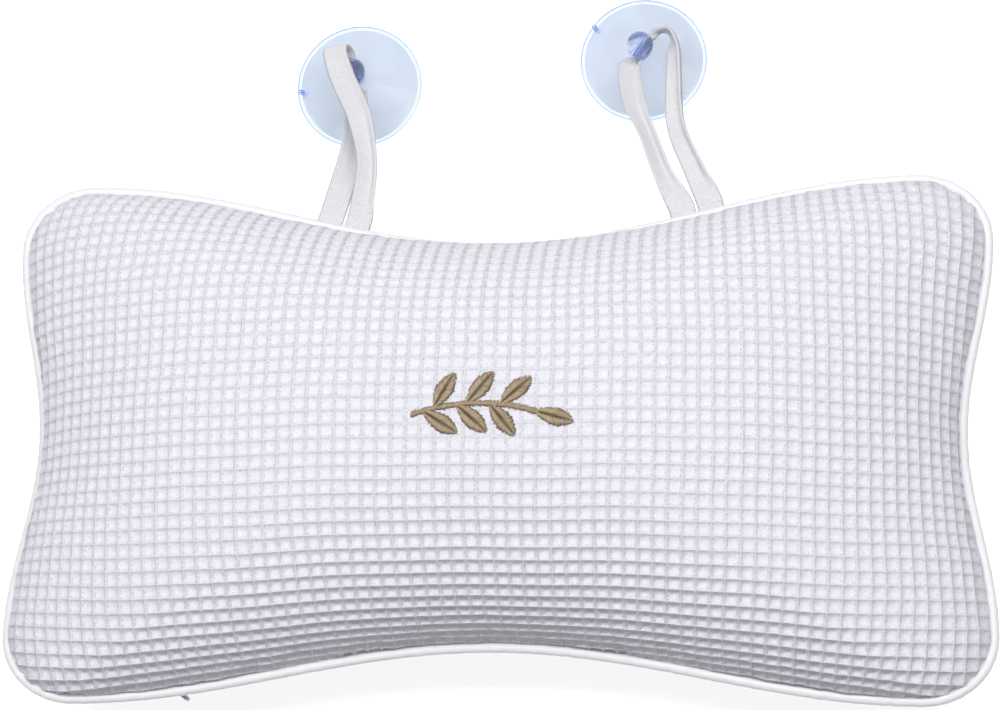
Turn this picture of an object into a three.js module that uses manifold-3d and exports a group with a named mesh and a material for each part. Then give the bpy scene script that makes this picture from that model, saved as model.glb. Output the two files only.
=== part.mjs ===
// Bath pillow: a waffle-cotton cover with piping all round and a zip in its bottom seam, a loose
// fibre-filled inner cushion, and two cotton tape loops that each carry a suction cup.
// Millimetres, +Z up. The pillow lies on its back: the origin is the middle of the flat patch it
// rests on, X runs along its width and +Y towards the cups.

import * as THREE from 'three';
import { mergeVertices } from 'three/addons/utils/BufferGeometryUtils.js';
import Module from 'manifold-3d';

const wasm = await Module();
wasm.setup();

// Outline of the cover, over the piping
const HALF_WIDTH = 185; // at the corners
const WAIST_HALF_WIDTH = 174.7; // at the middle of each short end
const HALF_HEIGHT = 99.8; // at the corners
const TOP_MID_HEIGHT = 75.6; // middle of the long side with the straps, from the middle of the pillow
const BOTTOM_MID_HEIGHT = 80.4; // middle of the long side with the zip
const CORNER_WIDTH = 27.5; // size of the rounded corners
const CORNER_HEIGHT = 25.2;
const EASE = 0.36; // how softly the sides curve into the corners
const CORNER_ROUND = 0.55; // fullness of the corners, where 0.55 is circular

// Section of the cover
const SEAM_HEIGHT = 42; // seam plane above the table
const FRONT_CROWN = 54; // top of the front above the seam plane
const FRONT_FULLNESS = 3.1; // how far the front keeps its width, where 2 is an ellipse
const FRONT_RISE = 1.5; // how upright its walls are, where 2 is an ellipse
const BACK_CROWN = 46; // back below the seam plane, before the table flattens it
const BACK_FULLNESS = 2.4;
const BACK_RISE = 2;
const ROUNDING = 2; // how soon the crown rounds off from the outline, where 0 is never
const WAFFLE_CLOTH = 1.6;
const PIPING_D = 4;
const PIPING_CLOTH = 0.5;
const PIPING_FLANGE = 6; // seam allowance of the piping inside the seam
const CLEARANCE = 0.3; // between pieces that touch

// Inner cushion
const CASE_CLOTH = 0.6;
const CASE_EASE = 0.5; // between the cover and the inner cushion

// Zip
const ZIP_DROP = 13; // height of the closed zip below the seam
const ZIP_END_INSET = 17; // from the top of the corner to the notch of the zip
const ZIP_NOTCH_SLANT = 1.5; // how far the ends of the notch lean out towards the seam
const ZIP_TAPE = 0.6;
const COIL_WIDTH = 2; // one row
const COIL_HEIGHT = 1.1;
const STOP_LENGTH = 2.5;
const SLIDER_LENGTH = 9;
const SLIDER_WALL = 1;
const BRIDGE_LENGTH = 6;
const BRIDGE_WIDTH = 1.6;
const BRIDGE_BAR = 0.8;
const PULL_LENGTH = 9;
const PULL_THICK = 1;
const PULL_ARM = 1.1; // width of the two arms beside the bridge
const PULL_STANDS_OUT = 52; // degrees from the zip

// Straps
const TAPE_WIDTH = 10;
const TAPE_THICK = 1;
const BUNCH_EASE = 0.45; // round the tape where it is gathered to pass through a cup
const ROOT_GAP = 0.8; // between the two sewn ends of a strap
const ROOT_ANGLE = 63; // degrees below the seam plane, where a strap comes out under the piping

// Suction cups
const CUP_D = 50;
const CUP_LIP = 1.6; // flat sealing lip
const CUP_RIM = 1; // thickness at the edge
const CUP_HOLLOW = 6;
const CUP_SHOULDER_D = 12;
const CUP_SHOULDER_HEIGHT = 8.2;
const NECK_D = 8;
const NECK_FILLET = 1.4; // rise from the shoulder to the neck
const BALL_D = 10.4;
const BALL_HEIGHT = 20; // centre above the lip
const CROSS_HOLE_D = 5.2;
const CROSS_HOLE_HEIGHT = 12;
const PEG_D = 2;
const PEG_HEIGHT = 3;
const PEG_INSET = 3.2; // centre from the edge of the cup

// Embroidery: a leafy sprig in satin stitch
const SPRIG_LENGTH = 48; // stem
const SPRIG_BOW = 4; // how far the stem bows
const STEM_WIDTH = 1.8;
const LEAF_LENGTH = 15.5;
const LEAF_WIDTH = 6.4;
const LEAF_ANGLE = 48; // degrees from the stem
const STITCH_HEIGHT = 0.8;

// Number of flat steps in each curve
const END_STEPS = 3; // half of an end
const CORNER_STEPS = 5;
const LONG_STEPS = 5; // half of a long side
const CROWN_RINGS = 7;
const NOTCH_RINGS = 3; // rings that bend round the notch of the zip
const ZIP_STEPS = 24;
const STRAP_STEPS = 44;
const CUP_STEPS = 24;

const radians = THREE.MathUtils.degToRad;

// Geometry helpers

// Closed surface from a list of triangles, each three Vector3
function fromTriangles(triangles) {
  return new THREE.BufferGeometry().setFromPoints(triangles.flat());
}

// Quad strips between rings of equal length; the rings themselves close up
function band(rings) {
  const triangles = [];
  for (let k = 0; k + 1 < rings.length; k += 1) {
    const [low, high] = [rings[k], rings[k + 1]];
    for (let i = 0; i < low.length; i += 1) {
      const j = (i + 1) % low.length;
      triangles.push([low[i], low[j], high[j]], [low[i], high[j], high[i]]);
    }
  }
  return triangles;
}

function fan(ring, tip) {
  return ring.map((point, i) => [point, ring[(i + 1) % ring.length], tip]);
}

function flipped(triangles) {
  return triangles.map(([a, b, c]) => [a, c, b]);
}

function middle(points) {
  const sum = new THREE.Vector3();
  points.forEach((point) => sum.add(point));
  return sum.divideScalar(points.length);
}

// Rod through sections of equal length, closed by a flat fan at each end
function rod(sections) {
  const first = sections[0];
  const last = sections[sections.length - 1];
  return [...band(sections), ...flipped(fan(first, middle(first))), ...fan(last, middle(last))];
}

function solid(geometry) {
  const bare = geometry.clone();
  bare.deleteAttribute('normal');
  bare.deleteAttribute('uv');
  const merged = mergeVertices(bare, 1e-4);
  const vertProperties = new Float32Array(merged.attributes.position.array);
  const triVerts = new Uint32Array(merged.index.array);
  return new wasm.Manifold(new wasm.Mesh({ numProp: 3, vertProperties, triVerts }));
}

function surface(body) {
  const { vertProperties, triVerts } = body.getMesh();
  const geometry = new THREE.BufferGeometry();
  geometry.setAttribute('position', new THREE.BufferAttribute(new Float32Array(vertProperties), 3));
  geometry.setIndex(new THREE.BufferAttribute(new Uint32Array(triVerts), 1));
  return geometry;
}

function union(...geometries) {
  return surface(geometries.map(solid).reduce((sum, body) => sum.add(body)));
}

function cut(geometry, tool) {
  return surface(solid(geometry).subtract(solid(tool)));
}

function box(x0, x1, y0, y1, z0, z1) {
  const geometry = new THREE.BoxGeometry(x1 - x0, y1 - y0, z1 - z0);
  return geometry.translate((x0 + x1) / 2, (y0 + y1) / 2, (z0 + z1) / 2);
}

function evenSteps(from, to, steps) {
  return Array.from({ length: steps }, (_, i) => from + ((to - from) * i) / steps);
}

// Outline of the seam, over the piping: curves from the middle of an end, round a corner, to the
// middle of a long side

const PIPING_R = PIPING_D / 2;
const QUARTER = Math.PI / 2;
const cornerX = HALF_WIDTH - CORNER_WIDTH;
const cornerY = HALF_HEIGHT - CORNER_HEIGHT;

function bezier(...points) {
  return new THREE.CubicBezierCurve(...points.map(([x, y]) => new THREE.Vector2(x, y)));
}

function quarterCurves(midHeight) {
  const end = bezier(
    [WAIST_HALF_WIDTH, 0],
    [WAIST_HALF_WIDTH, cornerY * EASE],
    [HALF_WIDTH, cornerY * (1 - EASE)],
    [HALF_WIDTH, cornerY],
  );
  const corner = bezier(
    [HALF_WIDTH, cornerY],
    [HALF_WIDTH, cornerY + CORNER_HEIGHT * CORNER_ROUND],
    [cornerX + CORNER_WIDTH * CORNER_ROUND, HALF_HEIGHT],
    [cornerX, HALF_HEIGHT],
  );
  const long = bezier(
    [cornerX, HALF_HEIGHT],
    [cornerX * (1 - EASE), HALF_HEIGHT],
    [cornerX * EASE, midHeight],
    [0, midHeight],
  );
  return { end, corner, long };
}

const topCurves = quarterCurves(TOP_MID_HEIGHT);
const bottomCurves = quarterCurves(BOTTOM_MID_HEIGHT);

// Share of the way along a long side, from its corner, at a distance x from the middle
function shareAtX(curve, x) {
  let [low, high] = [0, 1];
  for (let i = 0; i < 40; i += 1) {
    const between = (low + high) / 2;
    if (curve.getPoint(between).x > x) {
      low = between;
    } else {
      high = between;
    }
  }
  return low;
}

// The notch of the zip starts here, and its slanted ends reach the seam a little further out
const notchX = cornerX - ZIP_END_INSET;
const notchShare = shareAtX(bottomCurves.long, notchX);
const notchStart = shareAtX(bottomCurves.long, notchX + ZIP_NOTCH_SLANT);

// Point on the centre line of the piping, with its outward direction, in the quarter of the pillow
// that sideX and sideY give
function seamPoint(curve, share, sideX, sideY) {
  const { x, y } = curve.getPoint(share);
  const tangent = curve.getTangent(share);
  const outX = sideX * tangent.y;
  const outY = -sideY * tangent.x;
  const onZip = curve === bottomCurves.long && share >= notchShare;
  return { x: sideX * x - PIPING_R * outX, y: sideY * y - PIPING_R * outY, outX, outY, onZip };
}

// Half of the seam, anticlockwise from one end to the other; side is 1 for the top, -1 for the bottom
function halfSeam(side, { end, corner, long }, longShares) {
  const quarter = [
    ...evenSteps(0, 1, END_STEPS).map((share) => [end, share]),
    ...evenSteps(0, 1, CORNER_STEPS).map((share) => [corner, share]),
    ...longShares.map((share) => [long, share]),
  ];
  const back = [[long, 1], ...quarter.slice(1).reverse()];
  return [
    ...quarter.map(([curve, share]) => seamPoint(curve, share, side, side)),
    ...back.map(([curve, share]) => seamPoint(curve, share, -side, side)),
  ];
}

const seam = [
  ...halfSeam(1, topCurves, evenSteps(0, 1, LONG_STEPS)),
  ...halfSeam(-1, bottomCurves, [0, notchStart, ...evenSteps(notchShare, 1, LONG_STEPS)]),
];

// Point beside a seam point: `out` from the piping's centre line and `up` from the seam plane
function beside({ x, y, outX, outY }, out, up) {
  return new THREE.Vector3(x + out * outX, y + out * outY, SEAM_HEIGHT + up);
}

// Piping: a satin strip folded round a cord, with its two edges sewn into the seam

const flangeHalf = PIPING_CLOTH + CLEARANCE / 2;

function pipingSection() {
  const slit = CLEARANCE / 2;
  const hollowR = PIPING_R - PIPING_CLOTH;
  const outerFrom = Math.PI - Math.asin(flangeHalf / PIPING_R);
  const innerFrom = Math.PI - Math.asin(slit / hollowR);
  const circle = (radius, from, steps) =>
    Array.from({ length: steps + 1 }, (_, i) => {
      const angle = from - (2 * from * i) / steps;
      return [radius * Math.cos(angle), radius * Math.sin(angle)];
    });
  const edge = -(PIPING_R + PIPING_FLANGE);
  return [
    [edge, slit],
    [edge, flangeHalf],
    ...circle(PIPING_R, outerFrom, 8),
    [edge, -flangeHalf],
    [edge, -slit],
    ...circle(hollowR, innerFrom, 6).reverse(),
  ];
}

// Ring swept round the whole seam from a section of [out, up] points
function sweptRound(section) {
  const rings = [...seam, seam[0]].map((point) => section.map(([out, up]) => beside(point, out, up)));
  return fromTriangles(band(rings));
}

const pipingCover = sweptRound(pipingSection());

const cordR = PIPING_R - PIPING_CLOTH - CLEARANCE;
const pipingCord = sweptRound(
  evenSteps(0, -2 * Math.PI, 6).map((angle) => [cordR * Math.cos(angle), cordR * Math.sin(angle)]),
);

// Cover panels, inner case and filling are crowned halves on rings that shrink towards the middle

// Rings of one half, which round off from the outline of the seam to an ellipse near the middle.
// side is 1 for the front and -1 for the back, inset is from the piping's centre line, rim and crown
// are heights from the seam plane, floor is the lowest height allowed and rimAngle gives how far up
// the crown each point of the rim starts; the first rings make it up.
function crownRings({ side, inset, rim, crown, floor = 0, rimAngle = () => 0 }) {
  const [fullness, rise] = side > 0 ? [FRONT_FULLNESS, FRONT_RISE] : [BACK_FULLNESS, BACK_RISE];
  const base = seam.map((point) => beside(point, -inset, 0).setZ(0));
  const waistX = WAIST_HALF_WIDTH - PIPING_R - inset;
  const waistY = (y) => (y > 0 ? TOP_MID_HEIGHT : BOTTOM_MID_HEIGHT) - PIPING_R - inset;
  const ring = (k) =>
    base.map((point, i) => {
      const late = Math.max(0, 1 - k / NOTCH_RINGS);
      const angle = (QUARTER * k) / CROWN_RINGS + rimAngle(seam[i]) * late;
      const spread = Math.cos(angle) ** (2 / fullness);
      const height = SEAM_HEIGHT + side * (rim + (crown - rim) * Math.sin(angle) ** (2 / rise));
      const beyond = Math.hypot(point.x / waistX, point.y / waistY(point.y));
      const onEllipse = point.clone().divideScalar(beyond);
      const place = onEllipse.lerp(point, spread ** ROUNDING).multiplyScalar(spread);
      return place.setZ(Math.max(height, floor));
    });
  const rings = Array.from({ length: CROWN_RINGS }, (_, k) => ring(k));
  const tip = new THREE.Vector3(0, 0, Math.max(SEAM_HEIGHT + side * crown, floor));
  return { rings, tip };
}

function dome({ rings, tip }) {
  return [...band(rings), ...fan(rings[CROWN_RINGS - 1], tip)];
}

// Shell of cloth between two nested halves; the front faces up and the back faces down
function shell(side, outer, inner) {
  const rim = band([inner.rings[0], outer.rings[0]]);
  const front = [...dome(outer), ...flipped(dome(inner)), ...rim];
  return fromTriangles(side > 0 ? front : flipped(front));
}

const panelInset = PIPING_R + CLEARANCE;
const panelRim = flangeHalf + CLEARANCE;
const zipBottom = panelRim + ZIP_DROP;
const notchShareOfCrown = (zipBottom + CLEARANCE - panelRim) / (BACK_CROWN - WAFFLE_CLOTH - panelRim);
const notchAngle = Math.asin(notchShareOfCrown ** (BACK_RISE / 2));

function panelSkins(side, crown) {
  const shape = {
    side,
    rim: panelRim,
    rimAngle: ({ onZip }) => (side < 0 && onZip ? notchAngle : 0),
  };
  const outer = crownRings({ ...shape, inset: panelInset, crown });
  const inner = crownRings({
    ...shape,
    inset: panelInset + WAFFLE_CLOTH,
    crown: crown - WAFFLE_CLOTH,
    floor: WAFFLE_CLOTH,
  });
  return [outer, inner];
}

const frontSkins = panelSkins(1, FRONT_CROWN);
const frontPanel = shell(1, ...frontSkins);
const backSkins = panelSkins(-1, BACK_CROWN);
const backPanel = shell(-1, ...backSkins);

// Height of the front of the cover at a place inside its innermost ring
function frontHeight(x, y) {
  const [{ rings, tip }] = frontSkins;
  const ring = rings[CROWN_RINGS - 1];
  const cross = (a, b) => a.x * b.y - a.y * b.x;
  const place = new THREE.Vector3(x, y, 0);
  for (let i = 0; i < ring.length; i += 1) {
    const a = ring[i];
    const b = ring[(i + 1) % ring.length];
    if (cross(a, place) >= 0 && cross(place, b) >= 0) {
      const share = cross(place, b.clone().sub(a)) / cross(a, b);
      return tip.z + (a.z - tip.z) * share;
    }
  }
  return tip.z;
}

// Embroidery: a bowed stem with pairs of leaves and a leaf at its end

function leaf(x, y, angle) {
  const outline = new THREE.Shape();
  outline.moveTo(0, 0);
  outline.quadraticCurveTo(LEAF_LENGTH / 2, LEAF_WIDTH, LEAF_LENGTH, 0);
  outline.quadraticCurveTo(LEAF_LENGTH / 2, -LEAF_WIDTH, 0, 0);
  const geometry = new THREE.ExtrudeGeometry(outline, {
    depth: STITCH_HEIGHT,
    bevelEnabled: false,
    curveSegments: 5,
  });
  return geometry.rotateZ(angle).translate(x, y, 0);
}

function sprig() {
  const halfLength = SPRIG_LENGTH / 2;
  const bowAt = (x) => SPRIG_BOW * (0.5 - (x / halfLength) ** 2);
  const slopeAt = (x) => Math.atan((-2 * SPRIG_BOW * x) / halfLength ** 2);
  const stem = new THREE.Shape();
  const stations = [...evenSteps(-halfLength, halfLength, 12), halfLength];
  const edge = (side) => stations.map((x) => new THREE.Vector2(x, bowAt(x) + (side * STEM_WIDTH) / 2));
  stem.setFromPoints([...edge(-1), ...edge(1).reverse()]);
  const pieces = [new THREE.ExtrudeGeometry(stem, { depth: STITCH_HEIGHT, bevelEnabled: false })];
  for (const share of [-0.75, -0.25, 0.25]) {
    for (const side of [-1, 1]) {
      const x = (share + side * 0.08) * halfLength;
      pieces.push(leaf(x, bowAt(x), slopeAt(x) + side * radians(LEAF_ANGLE)));
    }
  }
  const tipX = halfLength - LEAF_LENGTH * 0.25;
  pieces.push(leaf(tipX, bowAt(tipX), slopeAt(tipX)));
  const flat = union(...pieces);
  const position = flat.attributes.position;
  for (let i = 0; i < position.count; i += 1) {
    const lift = frontHeight(position.getX(i), position.getY(i)) + CLEARANCE;
    position.setZ(i, position.getZ(i) + lift);
  }
  return flat;
}

// Zip: it stands in the notch of the back panel and leans in with the wall of the cushion.
// Its sections are in [out, up] from the middle of the closed zip, square to the lean.

const zipTopOut = -(panelInset + WAFFLE_CLOTH / 2);
const notchSpread = Math.cos(notchAngle) ** (2 / BACK_FULLNESS);
const zipBottomOut = zipTopOut - (BOTTOM_MID_HEIGHT - PIPING_R + zipTopOut) * (1 - notchSpread);
const zipLean = Math.atan2(zipTopOut - zipBottomOut, ZIP_DROP);
const zipHalfWidth = ZIP_DROP / Math.cos(zipLean) / 2 - ZIP_TAPE * Math.tan(zipLean);
const zipMiddle = { out: (zipTopOut + zipBottomOut) / 2, up: -(panelRim + zipBottom) / 2 };

// The zip bends to one arc, through its middle and the two ends of the notch
const zipMidY = BOTTOM_MID_HEIGHT - PIPING_R + zipMiddle.out;
const notchEnd = seam.findLastIndex(({ onZip }) => onZip);
const notchCorners = backSkins.map(({ rings }) => rings[0][notchEnd]);
const zipEnd = middle(notchCorners).lerp(beside(seam[notchEnd], zipTopOut, 0), 0.5);
const zipSag = -zipEnd.y - zipMidY;
const zipR = (zipEnd.x ** 2 + zipSag ** 2) / (2 * zipSag);
const zipReach = Math.min(...notchCorners.map(({ x }) => x));
const zipArc = zipR * Math.asin(zipReach / zipR) - 2 * CLEARANCE; // half of its length at the bottom
const zipTopReach = beside(seam[notchEnd + 1], zipTopOut - WAFFLE_CLOTH / 2, 0).x;
const zipTopArc = zipR * Math.asin(zipTopReach / zipR) - 2 * CLEARANCE; // and at the top

// How far the arc lies inside a line that follows the seam, at the furthest
const zipStray = Math.max(
  ...seam
    .filter(({ onZip }) => onZip)
    .map((point) => {
      const { x, y } = beside(point, zipMiddle.out, 0);
      return Math.sqrt(zipR ** 2 - x ** 2) - zipR - zipMidY - y;
    }),
);

// Axes of the zip at an arc length from its middle: along it, up its face, and out of its face
function zipFrame(along) {
  const turn = along / zipR;
  const place = new THREE.Vector3(zipR * Math.sin(turn), zipR * (Math.cos(turn) - 1) - zipMidY, 0);
  place.z = SEAM_HEIGHT + zipMiddle.up;
  const tangent = new THREE.Vector3(Math.cos(turn), -Math.sin(turn), 0);
  const outward = new THREE.Vector3(-Math.sin(turn), -Math.cos(turn), 0);
  const vertical = new THREE.Vector3(0, 0, 1);
  const [lean, rise] = [Math.sin(zipLean), Math.cos(zipLean)];
  const up = vertical.clone().multiplyScalar(rise).addScaledVector(outward, lean);
  const out = outward.clone().multiplyScalar(rise).addScaledVector(vertical, -lean);
  return new THREE.Matrix4().makeBasis(tangent, up, out).setPosition(place);
}

// Rod along the zip from a section of [out, up] points; halfLength gives its half length at a height
function alongZip(section, halfLength) {
  const shares = [...evenSteps(-1, 1, ZIP_STEPS), 1];
  const ring = (share) =>
    section.map(([out, up]) => {
      const frame = zipFrame(share * halfLength(up));
      return new THREE.Vector3(0, up, out).applyMatrix4(frame);
    });
  return fromTriangles(rod(shares.map(ring)));
}

const tapeFace = ZIP_TAPE / 2;
const coilBase = tapeFace + CLEARANCE;
const coilTop = coilBase + COIL_HEIGHT;
const rowGap = CLEARANCE / 2;
const coilEnd = zipArc - STOP_LENGTH - ZIP_TAPE - 2 * CLEARANCE;
const chamfer = COIL_HEIGHT / 3;

// side is 1 for the row sewn to the front of the cover and -1 for the row sewn to the back
function onZipSide(side, section) {
  const sided = section.map(([out, up]) => [out, side * up]);
  return side > 0 ? sided.reverse() : sided;
}

function zipTape(side) {
  const section = [
    [-tapeFace, rowGap],
    [tapeFace, rowGap],
    [tapeFace, zipHalfWidth],
    [-tapeFace, zipHalfWidth],
  ];
  const slant = (zipTopArc - zipArc) / (2 * zipHalfWidth);
  return alongZip(onZipSide(side, section), (up) => zipArc + slant * (up + zipHalfWidth));
}

function zipCoil(side) {
  const far = rowGap + COIL_WIDTH;
  const section = [
    [coilBase, rowGap],
    [coilTop, rowGap],
    [coilTop, far - chamfer],
    [coilTop - chamfer, far],
    [coilBase, far],
  ];
  return alongZip(onZipSide(side, section), () => coilEnd);
}

function zipStop(end) {
  const reach = rowGap + COIL_WIDTH;
  const clip = box(-STOP_LENGTH / 2, STOP_LENGTH / 2, -reach, reach, coilBase, coilTop);
  return clip.applyMatrix4(zipFrame(end * (coilEnd + CLEARANCE + STOP_LENGTH / 2)));
}

// Slider: a plate over both rows, a flange down each side and a bridge that holds the pull

const sliderAlong = -(coilEnd - CLEARANCE - SLIDER_LENGTH / 2);
const plateBase = coilTop + CLEARANCE;
const plateTop = plateBase + SLIDER_WALL;
const flangeInside = rowGap + COIL_WIDTH + CLEARANCE;
const sliderHalfWidth = flangeInside + SLIDER_WALL;
const pivotHalf = PULL_THICK / 2;
const pivotSwing = pivotHalf * Math.SQRT2;
const pivotHeight = plateTop + CLEARANCE + pivotSwing;
const bridgeClear = pivotHeight + pivotSwing + CLEARANCE / 2; // under the bar of the bridge
const bridgeTop = bridgeClear + BRIDGE_BAR;

function zipSlider() {
  const half = SLIDER_LENGTH / 2;
  const nose = sliderHalfWidth / 2;
  const outline = new THREE.Shape();
  outline.moveTo(-half, -nose);
  outline.lineTo(-half / 3, -sliderHalfWidth);
  outline.lineTo(half, -sliderHalfWidth);
  outline.lineTo(half, sliderHalfWidth);
  outline.lineTo(-half / 3, sliderHalfWidth);
  outline.lineTo(-half, nose);
  outline.closePath();
  const plate = new THREE.ExtrudeGeometry(outline, { depth: SLIDER_WALL, bevelEnabled: false });
  plate.translate(0, 0, plateBase);
  const flanges = [-1, 1].map((side) => {
    const [low, high] = [side * flangeInside, side * sliderHalfWidth].sort((a, b) => a - b);
    return box(-half / 3, half, low, high, coilBase, plateBase + SLIDER_WALL / 2);
  });
  const bridgeHalf = BRIDGE_LENGTH / 2;
  const windowHalf = bridgeHalf - SLIDER_WALL;
  const sunk = plateTop - SLIDER_WALL / 2;
  const bridge = cut(
    box(-bridgeHalf, bridgeHalf, -BRIDGE_WIDTH / 2, BRIDGE_WIDTH / 2, sunk, bridgeTop),
    box(-windowHalf, windowHalf, -BRIDGE_WIDTH, BRIDGE_WIDTH, plateTop, bridgeClear),
  );
  return union(plate, ...flanges, bridge).applyMatrix4(zipFrame(sliderAlong));
}

// Pull: a flat tab with an eye round the bridge; it turns on the end bar of the eye
function zipPull() {
  const eyeHalf = BRIDGE_WIDTH / 2 + CLEARANCE;
  const rootHalf = eyeHalf + PULL_ARM;
  const eyeEnd = Math.hypot(BRIDGE_LENGTH / 2, bridgeTop - pivotHeight) + CLEARANCE;
  const outline = new THREE.Shape();
  outline.moveTo(-pivotHalf, -rootHalf);
  outline.lineTo(PULL_LENGTH - rootHalf, -rootHalf);
  outline.absarc(PULL_LENGTH - rootHalf, 0, rootHalf, -QUARTER, QUARTER);
  outline.lineTo(-pivotHalf, rootHalf);
  outline.closePath();
  const eye = new THREE.Path();
  eye.moveTo(pivotHalf, -eyeHalf);
  eye.lineTo(pivotHalf, eyeHalf);
  eye.lineTo(eyeEnd, eyeHalf);
  eye.lineTo(eyeEnd, -eyeHalf);
  eye.closePath();
  outline.holes.push(eye);
  const tab = new THREE.ExtrudeGeometry(outline, {
    depth: PULL_THICK,
    bevelEnabled: false,
    curveSegments: 8,
  });
  tab.translate(0, 0, -pivotHalf).rotateY(-radians(PULL_STANDS_OUT)).translate(0, 0, pivotHeight);
  return tab.applyMatrix4(zipFrame(sliderAlong));
}

// Inner case and filling, inside the piping's edges and the zip

const zipInside = zipStray - zipTopOut + ZIP_TAPE / 2;
const caseInset = Math.max(PIPING_R + PIPING_FLANGE, zipInside) + CLEARANCE;
const caseDepth = WAFFLE_CLOTH + CASE_EASE; // case below the outside of the cover

function caseSkin(side, crown, cloth) {
  return crownRings({
    side,
    inset: caseInset + cloth,
    rim: CLEARANCE / 2,
    crown: crown - caseDepth - cloth,
    floor: caseDepth + cloth,
  });
}

const caseFront = shell(1, caseSkin(1, FRONT_CROWN, 0), caseSkin(1, FRONT_CROWN, CASE_CLOTH));
const caseBack = shell(-1, caseSkin(-1, BACK_CROWN, 0), caseSkin(-1, BACK_CROWN, CASE_CLOTH));

function fillingHalf(side, crown) {
  const depth = caseDepth + CASE_CLOTH + CLEARANCE;
  const inset = caseInset + CASE_CLOTH + CLEARANCE;
  const half = dome(crownRings({ side, inset, rim: 0, crown: crown - depth, floor: depth }));
  return side > 0 ? half : flipped(half);
}

const filling = fromTriangles([...fillingHalf(1, FRONT_CROWN), ...fillingHalf(-1, BACK_CROWN)]);

// Suction cup, standing on its lip, with its cross hole along Y and its release peg towards +X

function cupProfile() {
  const lipInside = CUP_D / 2 - CUP_LIP;
  const capR = (lipInside ** 2 + CUP_HOLLOW ** 2) / (2 * CUP_HOLLOW);
  const profile = evenSteps(0, lipInside, 6).map(
    (r) => new THREE.Vector2(r, CUP_HOLLOW - capR + Math.sqrt(capR ** 2 - r ** 2)),
  );
  const neckR = NECK_D / 2;
  const ballR = BALL_D / 2;
  const ballFrom = -Math.acos(neckR / ballR);
  profile.push(
    new THREE.Vector2(lipInside, 0),
    new THREE.Vector2(CUP_D / 2, 0),
    new THREE.Vector2(CUP_D / 2, CUP_RIM),
    new THREE.Vector2(CUP_SHOULDER_D / 2, CUP_SHOULDER_HEIGHT),
    new THREE.Vector2(neckR, CUP_SHOULDER_HEIGHT + NECK_FILLET),
    ...evenSteps(ballFrom, QUARTER, 6).map(
      (angle) => new THREE.Vector2(ballR * Math.cos(angle), BALL_HEIGHT + ballR * Math.sin(angle)),
    ),
    new THREE.Vector2(0, BALL_HEIGHT + ballR),
  );
  return profile;
}

function suctionCup() {
  const moulding = new THREE.LatheGeometry(cupProfile(), CUP_STEPS).rotateX(QUARTER);
  const pegAt = CUP_D / 2 - PEG_INSET;
  const shoulderR = CUP_SHOULDER_D / 2;
  const slope = (CUP_SHOULDER_HEIGHT - CUP_RIM) / (CUP_D / 2 - shoulderR);
  const pegFoot = CUP_RIM + slope * PEG_INSET;
  const sunk = CUP_RIM / 2;
  const peg = new THREE.CylinderGeometry(PEG_D / 2, PEG_D / 2, PEG_HEIGHT + sunk, 10).rotateX(QUARTER);
  peg.translate(pegAt, 0, pegFoot + (PEG_HEIGHT - sunk) / 2);
  const drill = new THREE.CylinderGeometry(CROSS_HOLE_D / 2, CROSS_HOLE_D / 2, 2 * NECK_D, 12);
  drill.translate(0, 0, CROSS_HOLE_HEIGHT);
  return cut(union(moulding, peg), drill);
}

// Straps. Each starts at its sewn end on the near side, passes through its cup away from the pillow,
// turns back on one side and returns to its other sewn end.
// seamX is where the middle of its sewn ends lies, toCup places the cup from there, pegAngle turns
// the cup, nearSide is the end that goes through the cup first and backSide the side of the hole where
// the tape turns back, 1 for the left looking through it.
// Points of a leg are [share of the way to the cup, along the seam, up, turn of the tape in degrees].
// Points of the turn are [through the hole, aside, up, width, thickness, turn].

const STRAPS = {
  left: {
    seamX: -60.7,
    toCup: [-1.7, 69.2],
    pegAngle: 188,
    nearSide: -1,
    backSide: 1,
    nearLeg: [[0.3, 0.8, 1, 10], [0.65, 0.6, 0.5, 40]],
    turn: [
      [11, 2.5, 3, 5.5, 1.6, 90],
      [11, 6.5, 8, 8, 1.1, 75],
      [6, 7, 12.5, 10, 1, 40],
      [-4, 5, 15.3, 10, 1, 5],
    ],
    farLeg: [[0.2, 2.6, 0.5, 0], [0.45, 5, 0.8, 0], [0.74, 3.6, 0.8, 0]],
  },
  right: {
    seamX: 74.8,
    toCup: [-24.3, 74.4],
    pegAngle: 146.5,
    nearSide: -1,
    backSide: -1,
    nearLeg: [[0.26, 0.5, 3, 20], [0.53, -0.5, 3, 20], [0.77, -3.8, 2.7, 15]],
    turn: [
      [10.5, 1.5, 1.5, 5, 1.8, 90],
      [11.5, 6.5, 4, 7, 1.3, 90],
      [5.6, 13, 7, 9, 1, 80],
    ],
    farLeg: [[0.5, -4.5, 0.5, 30]],
  },
};

// Place where a strap leaves the seam, with the directions along the seam and out of it
function strapRoot({ seamX }) {
  const share = shareAtX(topCurves.long, Math.abs(seamX));
  const point = seamPoint(topCurves.long, share, Math.sign(seamX), 1);
  const along = new THREE.Vector3(point.outY, -point.outX, 0);
  const out = new THREE.Vector3(point.outX, point.outY, 0);
  const away = PIPING_R + 2 * CLEARANCE + TAPE_THICK / 2;
  const slope = radians(ROOT_ANGLE);
  const place = beside(point, away * Math.cos(slope), -away * Math.sin(slope));
  return { place, along, out };
}

function cupPlace(strap) {
  const { place } = strapRoot(strap);
  return new THREE.Vector3(place.x + strap.toCup[0], place.y + strap.toCup[1], 0);
}

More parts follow.
